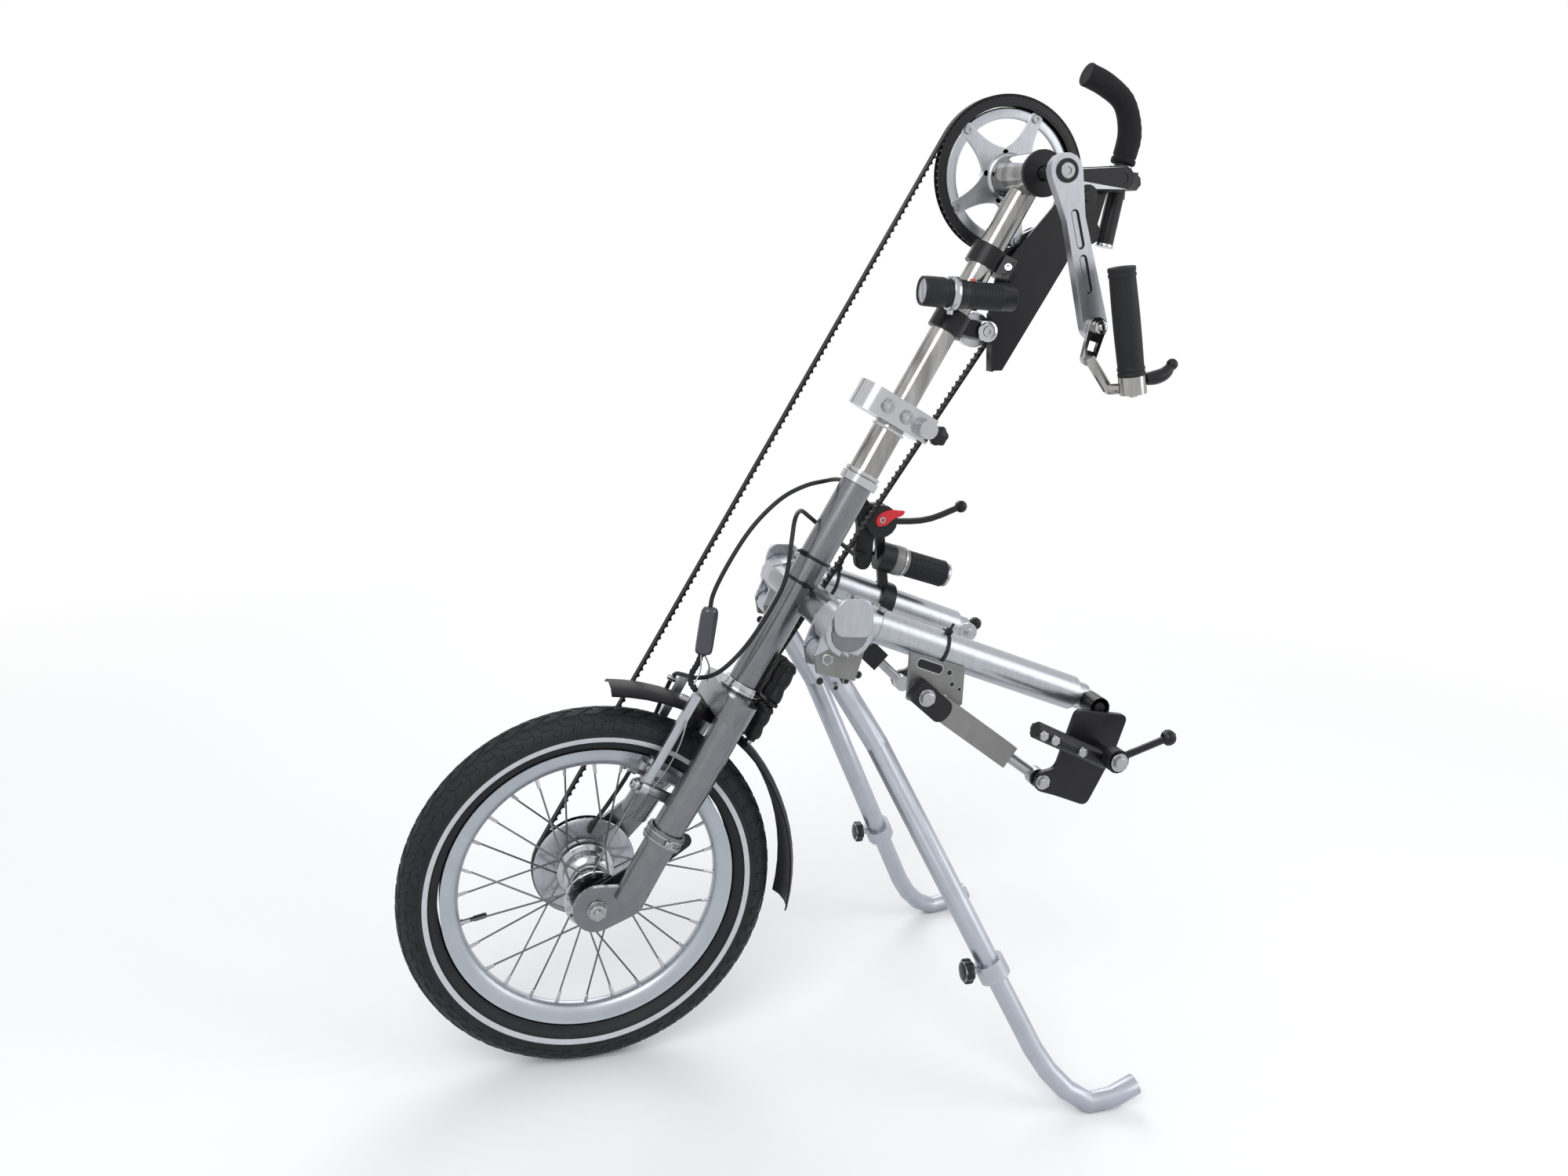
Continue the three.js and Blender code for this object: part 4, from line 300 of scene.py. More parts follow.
def as_object(name, bm, mat, angle):
    """A named object from the drawn faces, shaded smooth up to the angle."""
    bmesh.ops.recalc_face_normals(bm, faces=bm.faces)
    mesh = bpy.data.meshes.new(name)
    bm.to_mesh(mesh)
    bm.free()
    for face in mesh.polygons:
        face.use_smooth = True
    mesh.set_sharp_from_angle(angle=math.radians(angle))
    mesh.materials.append(M[mat])
    piece = bpy.data.objects.new(name, mesh)
    bpy.context.scene.collection.objects.link(piece)
    return piece


def finish_piece(name, bm, body, mat, replaced=(), bevel=0.0, angle=40, clean=True):
    """Makes the object ride its body, with its edges rounded; it may take a node's place."""
    if clean:
        bmesh.ops.remove_doubles(bm, verts=bm.verts, dist=1e-6)
    piece = as_object(name, bm, mat, angle)
    if bevel:
        round_off = piece.modifiers.new("edges", "BEVEL")
        round_off.width = bevel / 1000
        round_off.segments = 2
        round_off.limit_method = "ANGLE"
        round_off.angle_limit = math.radians(angle)
        round_off.harden_normals = True
    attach(piece, body)
    if replaced:
        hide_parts(*replaced)
    return piece


def dressed(node, mat, bevel=0.5, drop=None, paint=()):
    """The node's own shape with its flat faces joined, its edges rounded and its tubes shaded smooth.
    Faces that drop names are left out; paint gives other materials to faces by their middles."""
    bm = bmesh.new()
    bm.from_mesh(nodes[node].data)
    bm.transform(nodes[node].matrix_world)
    bmesh.ops.remove_doubles(bm, verts=bm.verts, dist=2e-6)
    if drop:
        gone = [face for face in bm.faces if drop(face.calc_center_median())]
        bmesh.ops.delete(bm, geom=gone, context="FACES")
    for at, (_, test) in enumerate(paint):
        for face in bm.faces:
            if test(face.calc_center_median()):
                face.material_index = at + 1
    bmesh.ops.dissolve_limit(bm, angle_limit=math.radians(FLAT_ANGLE), verts=bm.verts, edges=bm.edges,
                             delimit={"MATERIAL"})
    body = body_of_node[node]
    piece = finish_piece(f"{node}_skin", bm, body, mat, (node,), bevel, SKIN_ANGLE, clean=False)
    for other, _ in paint:
        piece.data.materials.append(M[other])


def wall(bm, low, high):
    """Faces between two closed rows of the same length."""
    for step in range(len(low)):
        after = (step + 1) % len(low)
        bm.faces.new([low[step], low[after], high[after], high[step]])


def lathe(bm, places, origin, direction, segments, ripple=None):
    """Turns places, given as radius and height in mm, about a line."""
    x, y, z = axes_for(direction)
    rings = []
    for at, (radius, height) in enumerate(places):
        ring = []
        if radius < 1e-6:
            rings.append([bm.verts.new(Vector(origin) + z * height / 1000)])
            continue
        for step in range(segments):
            turn = 2 * math.pi * step / segments
            size = radius * (ripple(at, turn) if ripple else 1)
            off = x * math.cos(turn) * size + y * math.sin(turn) * size + z * height
            ring.append(bm.verts.new(Vector(origin) + off / 1000))
        rings.append(ring)
    for low, high in zip(rings, rings[1:]):
        count = max(len(low), len(high))
        if count == 1:
            continue
        for step in range(count):
            after = (step + 1) % count
            corners = [low[step % len(low)], low[after % len(low)],
                       high[after % len(high)], high[step % len(high)]]
            unique = list(dict.fromkeys(corners))
            if len(unique) > 2:
                bm.faces.new(unique)
    return rings


def ring_about(bm, places, origin, direction, segments):
    """A closed turned ring: its outline of places comes back to its start."""
    rings = lathe(bm, places, origin, direction, segments)
    wall(bm, rings[-1], rings[0])


def length_of(points):
    """The length of a line through points, in their own unit."""
    return sum((b - a).length for a, b in zip(points, points[1:]))


def evenly(points, steps):
    """The same line cut into evenly spaced points, both ends among them."""
    lengths = [0.0]
    for a, b in zip(points, points[1:]):
        lengths.append(lengths[-1] + (b - a).length)
    found = []
    at = 0
    for step in range(steps + 1):
        target = lengths[-1] * step / steps
        while at < len(lengths) - 2 and lengths[at + 1] < target:
            at += 1
        share = (target - lengths[at]) / max(lengths[at + 1] - lengths[at], 1e-12)
        found.append(points[at].lerp(points[at + 1], min(1, max(0, share))))
    return found


def smooth_line(points, steps):
    """Points spread evenly along a smooth curve through the given points."""
    spots = [Vector(p) for p in points]
    raw = []
    for at in range(len(spots) - 1):
        a = spots[at - 1] if at else spots[0] * 2 - spots[1]
        b, c = spots[at], spots[at + 1]
        d = spots[at + 2] if at + 2 < len(spots) else c * 2 - b
        ta, tb = 0.0, max((b - a).length, 1e-9) ** 0.5
        tc = tb + max((c - b).length, 1e-9) ** 0.5
        td = tc + max((d - c).length, 1e-9) ** 0.5
        for step in range(12):
            t = tb + (tc - tb) * step / 12
            ab = a * ((tb - t) / (tb - ta)) + b * ((t - ta) / (tb - ta))
            bc = b * ((tc - t) / (tc - tb)) + c * ((t - tb) / (tc - tb))
            cd = c * ((td - t) / (td - tc)) + d * ((t - tc) / (td - tc))
            abc = ab * ((tc - t) / (tc - ta)) + bc * ((t - ta) / (tc - ta))
            bcd = bc * ((td - t) / (td - tb)) + cd * ((t - tb) / (td - tb))
            raw.append(abc * ((tc - t) / (tc - tb)) + bcd * ((t - tb) / (tc - tb)))
    raw.append(spots[-1])
    return evenly(raw, steps)


def pipe(bm, points, radius, sides, radii=None, ripple=None, lead=None):
    """A tube along points in metres; radius in mm, or one radius for each point."""
    count = len(points)
    ahead = []
    for at in range(count):
        ahead.append((points[min(at + 1, count - 1)] - points[max(at - 1, 0)]).normalized())
    x, y, _ = axes_for(ahead[0])
    if lead is not None:
        x = (Vector(lead) - ahead[0] * ahead[0].dot(Vector(lead))).normalized()
        y = ahead[0].cross(x)
    rings = []
    for at in range(count):
        if at:
            turn = ahead[at - 1].rotation_difference(ahead[at])
            x, y = turn @ x, turn @ y
        size = radii[at] if radii else radius
        ring = []
        for step in range(sides):
            angle = 2 * math.pi * step / sides
            r = size * (ripple(at, angle) if ripple else 1)
            spot = points[at] + (x * math.cos(angle) * r + y * math.sin(angle) * r) / 1000
            ring.append(bm.verts.new(spot))
        rings.append(ring)
    for low, high in zip(rings, rings[1:]):
        wall(bm, low, high)
    bm.faces.new(list(reversed(rings[0])))
    bm.faces.new(rings[-1])


def straight(bm, a, b, radius, sides, end=None):
    """A rod between two places, its ends broken by a small edge; end is its radius at the second."""
    a, b = Vector(a), Vector(b)
    length = (b - a).length * 1000
    far = end if end is not None else radius
    edge = min(0.5, radius * 0.2, length * 0.2)
    places = [(0, 0), (radius - edge, 0), (radius, edge), (far, length - edge), (far - edge, length),
              (0, length)]
    lathe(bm, places, a, b - a, sides)


def hexed(rows):
    """Makes the named rows of a turned shape hexagonal."""
    def shape(at, turn):
        if at not in rows:
            return 1
        return math.cos(math.pi / 6) / math.cos((turn % (math.pi / 3)) - math.pi / 6)
    return shape


def scalloped(depth, lobes, first, last):
    """Hollows the rows between first and last into lobes for the fingers."""
    def shape(at, turn):
        return 1 - depth * (0.5 + 0.5 * math.cos(turn * lobes)) if first < at < last else 1
    return shape


def cap_screw(bm, origin, direction, radius, high):
    """A socket screw's head with its hexagonal recess."""
    r, h = radius, high
    places = [(r, 0), (r, h - 0.4), (r - 0.4, h), (r * 0.56, h), (r * 0.5, h - h * 0.6), (0, h - h * 0.6)]
    lathe(bm, places, origin, direction, 24, hexed((3, 4)))


def hex_head(bm, origin, direction, radius, high):
    places = [(radius * 1.12, 0), (radius * 1.12, high - 0.5), (radius * 0.9, high), (0, high + 0.1)]
    lathe(bm, places, origin, direction, 24, hexed((0, 1)))


def washer(bm, origin, direction, inner, outer, thick):
    edge = 0.2
    rim = outer - edge
    places = [(inner, 0), (rim, 0), (outer, edge), (outer, thick - edge), (rim, thick), (inner, thick)]
    ring_about(bm, places, origin, direction, 32)


def slab(bm, outline, origin, x_axis, y_axis, thick):
    """A flat plate from an outline in mm on two axes, thick along their cross product."""
    x, y = Vector(x_axis), Vector(y_axis)
    z = x.cross(y).normalized()
    low = [bm.verts.new(Vector(origin) + (x * a + y * b) / 1000) for a, b in outline]
    high = [bm.verts.new(Vector(origin) + (x * a + y * b + z * thick) / 1000) for a, b in outline]
    bm.faces.new(list(reversed(low)))
    bm.faces.new(high)
    wall(bm, low, high)


def ball_at(bm, centre, radius, segments):
    """A ball turned about an upright line; its radius in mm."""
    steps = segments // 2
    turns = [math.pi * step / steps for step in range(steps + 1)]
    places = [(radius * math.sin(turn), -radius * math.cos(turn)) for turn in turns]
    places[0], places[-1] = (0, -radius), (0, radius)
    lathe(bm, places, centre, (0, 0, 1), segments)


def rounded(corners, radius, steps=4):
    """An outline with each of its corners rounded."""
    out = []
    count = len(corners)
    for at in range(count):
        p, a, b = Vector(corners[at]), Vector(corners[at - 1]), Vector(corners[(at + 1) % count])
        reach = min(radius, (a - p).length / 2.1, (b - p).length / 2.1)
        start, end = p + (a - p).normalized() * reach, p + (b - p).normalized() * reach
        for step in range(steps + 1):
            t = step / steps
            spot = start * (1 - t) ** 2 + p * 2 * t * (1 - t) + end * t ** 2
            out.append((spot.x, spot.y))
    return out


def oblong(long, wide):
    """A rectangle's corners from its half sizes."""
    return [(-long, -wide), (long, -wide), (long, wide), (-long, wide)]


# Wheel

TUBE = 23.5
TUBE_AT = WHEEL_R - TUBE
CASE = TUBE - 1.3
TREAD_BLOCKS = 56
SPOKES = 28
SPOKE_LEAN = 0.55
VALVE_TURN = math.radians(-167.14)
RIM_PROFILE = [(158, -12), (156.6, -11.6), (152, -10.4), (147, -10.0), (141.5, -7.4), (139, -3.4), (138.7, 0),
               (139, 3.4), (141.5, 7.4), (147, 10.0), (152, 10.4), (156.6, 11.6), (158, 12), (158, 10.6),
               (152, 8.4), (149, 5), (149, -5), (152, -8.4), (158, -10.6)]
HUB_PROFILE = [(6, -40), (13, -40), (14.5, -38.5), (16, -37.5), (31, -37.4), (31.6, -36.8), (31.6, -35.2),
               (31, -34.6), (22.5, -32), (20, -26), (19.4, 0), (20, 9), (24, 13.2), (26, 14), (26, 28),
               (29, 29.5), (31, 30), (31.6, 30.5), (31.6, 32), (31, 32.6), (17, 33), (16, 35), (16, 56),
               (15, 57), (6, 57)]
VALVE_PROFILE = [(3.0, 0), (3.0, 2), (2.4, 2.6), (2.4, 13), (2.9, 13.4), (3.0, 14), (3.0, 25), (2.5, 27),
                 (0, 27.6)]


def about(centre, angle, r, y):
    """A place round a crosswise axle, its angle counted from the rear upwards."""
    return centre + Vector((math.cos(angle) * r, y, math.sin(angle) * r)) / 1000


def about_wheel(angle, r, y):
    return about(AXLE, angle, r, y)


def in_tube(lift, angle):
    """Radius and width of a point in the tyre's section."""
    return TUBE_AT + lift * math.cos(angle), lift * math.sin(angle)


def make_tyre():
    bm = bmesh.new()
    profile = [in_tube(CASE, math.radians(-149 + 298 * step / 28)) for step in range(29)]
    inner = [in_tube(TUBE - 4.3, math.radians(a)) for a in range(146, -147, -73)]
    ring_about(bm, profile + inner, AXLE, SIDE, 144)
    finish_piece("tyre_case", bm, "wheel", "tyre", ("tyre",))
    bm = bmesh.new()
    half_pitch = math.pi / TREAD_BLOCKS
    for at in range(TREAD_BLOCKS):
        middle = 2 * half_pitch * at
        for side in (-1, 1):
            tread_block(bm, middle, side, 6, 30, 0.36, 0.30)
            tread_block(bm, middle + half_pitch, side, 36, 56, 0.30, -0.10)
            tread_block(bm, middle, side, 60, 76, 0.22, 0.05)
        tread_block(bm, middle + half_pitch, 1, -4, 4, 0.40, 0.0)
    finish_piece("tyre_tread", bm, "wheel", "tyre", angle=50)
    bm = bmesh.new()
    for side in (-1, 1):
        band = []
        for lift in (TUBE - 2.0, TUBE - 0.6):
            places = [math.radians(98 + 14 * s / 3) * side for s in range(4)]
            found = [in_tube(lift, a) for a in places]
            band += found if lift < TUBE - 1 else list(reversed(found))
        ring_about(bm, band, AXLE, SIDE, 120)
    finish_piece("tyre_stripe", bm, "wheel", "stripe")
    bm = bmesh.new()
    for side in (-1, 1):
        for where in (84, 118):
            r, y = in_tube(CASE, math.radians(where) * side)
            bead = [(r + math.cos(t) * 0.8, y + math.sin(t) * 0.8) for t in (0, 1.57, 3.14, 4.71)]
            ring_about(bm, bead, AXLE, SIDE, 96)
    finish_piece("tyre_beads", bm, "wheel", "tyre")


def tread_block(bm, middle, side, low, high, share, slant):
    """One raised block of the tread, its edges at two angles round the tube."""
    pitch = 2 * math.pi / TREAD_BLOCKS
    corners = []
    for lift, shrink in ((TUBE - 1.6, 1.0), (TUBE - 0.1, 0.82)):
        level = []
        for round_tube, along in ((low, -1), (low, 1), (high, 1), (high, -1)):
            centre = (low + high) / 2
            tube = math.radians(centre + (round_tube - centre) * shrink) * side
            shift = slant * pitch * (1 if round_tube == high else -1)
            turn = middle + along * share * pitch * shrink + shift
            level.append(bm.verts.new(about_wheel(turn, *in_tube(lift, tube))))
        corners.append(level)
    bm.faces.new(corners[1])
    wall(bm, *corners)


def spoke_ends():
    """Each spoke's angle at the rim, its angle at the hub and its flange's side."""
    for at in range(SPOKES):
        rim_turn = 2 * math.pi * at / SPOKES
        lean = SPOKE_LEAN * (1 if at % 4 < 2 else -1)
        yield rim_turn, rim_turn + lean, -1 if at % 2 else 1


def make_wheel():
    make_tyre()
    bm = bmesh.new()
    ring_about(bm, RIM_PROFILE, AXLE, SIDE, 144)
    finish_piece("rim_hoop", bm, "wheel", "rim", ("rim",), angle=38)
    bm = bmesh.new()
    for turn, foot, side in spoke_ends():
        top, low = about_wheel(turn, 140, side * 1.2), about_wheel(foot, 29.5, side * 33)
        ahead = (low - top).normalized()
        straight(bm, top, top + ahead * 0.012, 2.1, 10, 1.7)
        washer(bm, about_wheel(turn, 139.4, side * 1.2), top - low, 2.2, 3.4, 0.8)
    finish_piece("nipples", bm, "wheel", "polished")
    bm = bmesh.new()
    for turn, foot, side in spoke_ends():
        straight(bm, about_wheel(turn, 136, side * 2.0), about_wheel(foot, 29.0, side * 35.0), 1.05, 10)
        ball_at(bm, about_wheel(foot, 28.4, side * (37.6 if (turn > 3) else 34)), 2.0, 8)
    finish_piece("spoke_set", bm, "wheel", "spoke")
    bm = bmesh.new()
    ring_about(bm, HUB_PROFILE, AXLE, SIDE, 64)
    finish_piece("hub_shell", bm, "wheel", "polished", ("hub_with_spokes",), angle=30)
    bm = bmesh.new()
    for turn, _, side in spoke_ends():
        y = -37.5 if side < 0 else 32.7
        washer(bm, about_wheel(turn + 0.05, 27.6, y), SIDE * side, 1.4, 2.3, 0.3)
    lathe(bm, [(20.6, -4), (21.2, -3), (21.2, 3), (20.6, 4)], AXLE, SIDE, 48)
    finish_piece("hub_eyes", bm, "wheel", "steel")
    bm = bmesh.new()
    inward = AXLE - about_wheel(VALVE_TURN, 1, 0)
    lathe(bm, VALVE_PROFILE, about_wheel(VALVE_TURN, 138.5, 0), inward, 16)
    finish_piece("valve", bm, "wheel", "rubber")


def make_wheel_end():
    """The pulley, its driver and face, and the axle with its nuts."""
    make_pulley("wheel_pulley", "wheel", AXLE, SMALL_TEETH, SMALL, 45, 56, 24)
    bm = bmesh.new()
    disc = [(17, 56.5), (34, 56.5), (36, 57.2), (36, 58.4), (34.5, 59), (26, 59.4), (17, 59.4)]
    ring_about(bm, disc, AXLE, SIDE, 64)
    finish_piece("driver_disc", bm, "wheel", "polished")
    bm = bmesh.new()
    ring_about(bm, [(28, 42.6), (53, 42.6), (56, 43), (57, 43.8), (56.6, 44.6), (28, 44.6)], AXLE, SIDE, 72)
    for at in range(10):
        turn = 2 * math.pi * at / 10
        washer(bm, about_wheel(turn, 45, 42.6), -SIDE, 2.6, 4.4, 0.5)
    ring_about(bm, [(28, 40), (31, 40.4), (33, 42.6), (28, 42.6)], AXLE, SIDE, 64)
    finish_piece("pulley_face", bm, "wheel", "satin")
    bm = bmesh.new()
    for side, y in ((-1, -60.3), (1, 67.8)):
        way = SIDE * side
        base = AXLE + SIDE * y / 1000
        washer(bm, base, way, 5.3, 10.4, 1.6)
        hex_head(bm, base + way * 0.0016, way, 8.4, 6.4)
        lathe(bm, [(4.9, 0), (4.9, 6.4), (4.4, 7.0), (0, 7.0)], base + way * 0.006, way, 20)
    straight(bm, AXLE - SIDE * 0.0603, AXLE + SIDE * 0.0678, 4.9, 24)
    finish_piece("axle_and_nuts", bm, "steering", "steel", ("wheel_axle",), angle=28)


def tooth_ring(count, root, tip):
    """The outline of a toothed belt pulley: root and tip radius for each of its places."""
    found = []
    for at in range(count):
        middle = 2 * math.pi * at / count
        pitch = 2 * math.pi / count
        for share, r in ((-0.5, root), (-0.22, root), (-0.14, tip), (0.14, tip), (0.22, root)):
            found.append((middle + share * pitch, r))
    return found


def make_pulley(name, body, centre, count, pitch_r, low, high, inner):
    """A toothed pulley from low to high beside the middle, with thin flanges and an open middle."""
    bm = bmesh.new()
    root, tip = pitch_r - 4.6, pitch_r - 2.2
    outline = tooth_ring(count, root, tip)
    levels = []
    for y, grow in ((low, -0.8), (low + 0.8, 0), (high - 0.8, 0), (high, -0.8)):
        levels.append([bm.verts.new(about(centre, a, r + grow, y)) for a, r in outline])
    for under, over in zip(levels, levels[1:]):
        wall(bm, under, over)
    for level, y in ((levels[0], low), (levels[-1], high)):
        wall(bm, level, [bm.verts.new(about(centre, a, inner, y)) for a, _ in outline])
    finish_piece(name + "_teeth", bm, body, "black", (name,), angle=30)
    bm = bmesh.new()
    for y in (low - 0.4, high - 1.4):
        lathe(bm, [(pitch_r - 8.5, y), (tip + 1.2, y + 0.4), (tip + 1.2, y + 1.4), (pitch_r - 8.5, y + 1.8)],
              centre, SIDE, 96)
    finish_piece(name + "_flanges", bm, body, "black")


# Belt drive

BIG, SMALL = 91.67, 56.02
BIG_TEETH, SMALL_TEETH = 72, 44
BELT_Y = 50.5
CRANK_AXLE = on(-5.2, 0, 924)
BIG_AT, SMALL_AT = CRANK_AXLE + SIDE * BELT_Y / 1000, AXLE + SIDE * BELT_Y / 1000
BELT_PITCH = 8
BELT_HALF = 5.2
BELT_BACK = 2
BELT_WEB = 0.2
IDLER_U, IDLER_W = 50, 753
STRAP_W = 820
SPIDER_ARMS = 5
SPIDER_TURN = math.radians(67.2)
SPIDER_ARM = [(20, -25), (34, -15), (50, -9.6), (68, -8), (80, -8.4), (85, 0), (80, 8.4), (68, 8), (50, 9.6),
              (34, 15), (20, 25)]
SPIDER_BOLT_R = 74


def belt_line():
    """The belt's middle line round its two pulleys."""
    gap = BIG_AT - SMALL_AT
    far = gap.length * 1000
    along = gap.normalized()
    cross = Vector((along.z, 0, -along.x))
    tilt = math.asin((BIG - SMALL) / far)
    points = []
    for centre, r, start, end in ((BIG_AT, BIG, math.pi / 2 + tilt, -math.pi / 2 - tilt),
                                  (SMALL_AT, SMALL, -math.pi / 2 - tilt, -3 * math.pi / 2 + tilt)):
        for step in range(49):
            a = start + (end - start) * step / 48
            points.append(centre + (along * math.cos(a) + cross * -math.sin(a)) * r / 1000)
    return points


def make_belt():
    loop = belt_line()
    loop.append(loop[0])
    teeth = round(length_of(loop) * 1000 / BELT_PITCH)
    heights = (2.0, 2.0, 0.4, -2.0, -2.0, 0.4)
    count = teeth * len(heights)
    line = evenly(loop, count)[:-1]
    bm = bmesh.new()
    rows = []
    middle = (BIG_AT + SMALL_AT) / 2
    for at, spot in enumerate(line):
        ahead = (line[(at + 1) % count] - line[at - 1]).normalized()
        out = ahead.cross(SIDE)
        if out.dot(spot - middle) < 0:
            out = -out
        inner = min(0, -heights[at % len(heights)]) - BELT_WEB
        corners = ((-BELT_HALF, BELT_BACK), (BELT_HALF, BELT_BACK), (BELT_HALF, inner), (-BELT_HALF, inner))
        rows.append([bm.verts.new(spot + (SIDE * y + out * lift) / 1000) for y, lift in corners])
    for at in range(count):
        wall(bm, rows[at], rows[(at + 1) % count])
    finish_piece("toothed_belt", bm, "steering", "belt", ("belt",), angle=30)


def make_top_pulley():
    centre = CRANK_AXLE
    make_pulley("top_pulley", "cranks", centre, BIG_TEETH, BIG, 44.6, 56.4, 80)
    turns = [SPIDER_TURN + 2 * math.pi * at / SPIDER_ARMS for at in range(SPIDER_ARMS)]
    bm = bmesh.new()
    ring = [(66.5, 48.2), (76.6, 48.2), (79, 49.4), (79, 52.2), (76.6, 53.3), (66.5, 53.3)]
    ring_about(bm, ring, centre, SIDE, 96)
    for turn in turns:
        ahead = Vector((math.cos(turn), 0, math.sin(turn)))
        across = Vector((-math.sin(turn), 0, math.cos(turn)))
        slab(bm, rounded(SPIDER_ARM, 8), centre + SIDE * 0.0533, ahead, across, 5.4)
    finish_piece("spider_arms", bm, "cranks", "satin", ("pulley_spider",), bevel=1.2)
    bm = bmesh.new()
    for turn in turns:
        cap_screw(bm, about(centre, turn, SPIDER_BOLT_R, 47.6), -SIDE, 4.6, 2.6)
        washer(bm, about(centre, turn, SPIDER_BOLT_R, 53.6), SIDE, 2, 5.6, 1.6)
    finish_piece("spider_bolts", bm, "cranks", "steel")
    bm = bmesh.new()
    hub = [(15, 44), (25, 44), (27.5, 45.5), (28.5, 48), (28.5, 53), (27.5, 54.6), (15, 54.6)]
    ring_about(bm, hub, centre, SIDE, 48)
    finish_piece("spider_hub", bm, "cranks", "polished")


def make_drive():
    for node, mat, bevel in (("idler_roller", "polished", 0.6), ("idler_bracket", "black", 0.7),
                             ("belt_guard", "black", 0.9), ("strap_clamp", "black", 0.8),
                             ("crank_axle", "polished", 0.5), ("bracket_cup", "black", 1.0)):
        dressed(node, mat, bevel)
    make_belt()
    make_top_pulley()
    bm = bmesh.new()
    hex_head(bm, on(IDLER_U, 44.2, IDLER_W), -SIDE, 6.0, 4.2)
    hex_head(bm, on(IDLER_U, 60.5, IDLER_W), SIDE, 6.0, 4.2)
    finish_piece("idler_bolt", bm, "steering", "steel")
    bm = bmesh.new()
    lug_way = -SIDE * 0.848 - ACROSS * 0.53
    cap_screw(bm, on(21.4, -20.5, STRAP_W), lug_way, 4.5, 4)
    hex_head(bm, on(27.8, -10.3, STRAP_W), -lug_way, 4.5, 3)
    finish_piece("strap_bolts", bm, "steering", "steel")


make_wheel()
make_wheel_end()
make_drive()


# Frame, fork and steering column

CLIP = on(-14, -54, 98)
CRANK_LONG = 170
CRANK_FACE = 91.5
NEAR_TURN = math.radians(162.6)
FAR_TURN = math.radians(85)
STRUT_X, STRUT_Z = 322, 449
CHEEK_Y = 118.2
HANGER_Y = 127
ARM_EYES = {"near": (528.2, 427.7), "far": (477.3, 445.8)}
ARM_DROP = math.radians(19.6)
ARM_WAY = Vector((math.cos(ARM_DROP), 0, -math.sin(ARM_DROP)))
ARM_UP = Vector((math.sin(ARM_DROP), 0, math.cos(ARM_DROP)))


def crank_way(turn):
    return Vector((math.sin(turn), 0, math.cos(turn)))


def on_arm(side, along, lift=0, out=0):
    """A point on an arm: along it from its root, above its middle line and outwards."""
    return mm(238, side * (108 + out), 531) + (ARM_WAY * along + ARM_UP * lift) / 1000


PLAIN = {
    "grey_paint": ("main_frame", "fork"),
    "polished": ("headset_upper", "headset_lower", "stem_clamp"),
    "chrome": ("lower_post", "upper_post", "near_handle_bracket"),
    "satin": ("near_crank", "near_arm_slide", "far_arm_slide", "near_brake_arm", "far_brake_arm"),
    "leg": ("near_leg_upper", "far_leg_upper"),
    "black": ("far_handle_bracket", "near_clamp_lever", "far_clamp_lever", "brake_lever", "far_strut_box"),
    "plastic": ("lever_bracket",),
    "gloss": ("mudguard",),
    "steel": ("near_strut_rod", "far_strut_rod"),
}


def near_line(start, way, radius):
    """A test of whether a point lies within radius mm of a line."""
    start, way = Vector(start), Vector(way).normalized()

    def test(point):
        off = point - start
        return (off - way * off.dot(way)).length * 1000 < radius

    return test


def make_plain():
    for mat, names in PLAIN.items():
        for node in names:
            dressed(node, mat, 0.6)
    for node in CABLES:
        make_cable(node)
    clip = near_line(CLIP, UP, 25)
    clip_paint = ("grey_paint", lambda p: clip(p) and abs((p - CLIP).dot(UP)) < 0.012)
    dressed("reaction_arm", "black", paint=[clip_paint])
    tip = BIG_AT + crank_way(FAR_TURN) * CRANK_LONG / 1000
    dressed("far_crank", "satin", paint=[("black", near_line(tip, SIDE, 78))])
    for name, side in SIDES:
        tube = near_line(on_arm(side, 0), ARM_WAY, 20.5)
        dressed(name + "_arm_clamp", "satin", paint=[("plate", lambda p: p.z < 0.494)])
        dressed(name + "_arm_sleeve", "satin", paint=[("plate", lambda p, tube=tube: not tube(p))])
        dressed(name + "_leg_lower", "leg", paint=[("plastic", lambda p: p.x * 1000 + AXLE_X > 566.5)])
    dressed("near_strut_box", "box")
    bm = bmesh.new()
    head = rounded([(-14, -13.6), (28, -13.6), (34, -6), (34, 6), (28, 13.6), (-14, 13.6)], 6)
    start = mm(STRUT_X, -138, STRUT_Z) + SIDE * 0.0079
    slab(bm, head, start, Vector((0.765, 0, -0.644)), Vector((0.644, 0, 0.765)), 15.8)
    finish_piece("strut_head", bm, "near_strut_box", "black", bevel=1.2, angle=50)


CABLES = {
    "brake_cable": [(333.1, 98, 604.9), (318, 88, 624), (292, 60, 642), (268, 32, 650), (246, 12, 651),
                    (222, 0, 648), (194, -8, 636), (162, -12, 606), (134, -17, 564), (118, -20, 530),
                    (116, -20, 515.4)],
    "gear_cable": [(344.8, 98, 548), (328, 90, 551), (312, 70, 553), (303, 52, 557), (295, 38, 563),
                   (278, 33, 576), (257, 34, 592), (238, 30, 607), (222, 14, 617), (210, -6, 611),
                   (204, -18, 590), (197, -25, 548), (182, -27, 516), (152, -27, 470), (126, -22, 444),
                   (108, -4, 434), (98, 18, 431), (92, 35, 426), (84, 43, 404), (66, 45, 354), (47, 45, 310),
                   (26, 42, 278), (11, 37.5, 259), (3, 36.5, 245)],
}


def make_cable(node):
    """A cable from the frame at its start to the steered parts at its end; it is drawn where it lies and
    rides no body.
    """
    line = smooth_line([mm(*p) for p in CABLES[node]], 120)
    bm = bmesh.new()
    pipe(bm, line, 2.5, 14)
    cable = as_object(node + "_skin", bm, "plastic", 50)
    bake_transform(cable)
    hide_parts(node)


make_plain()


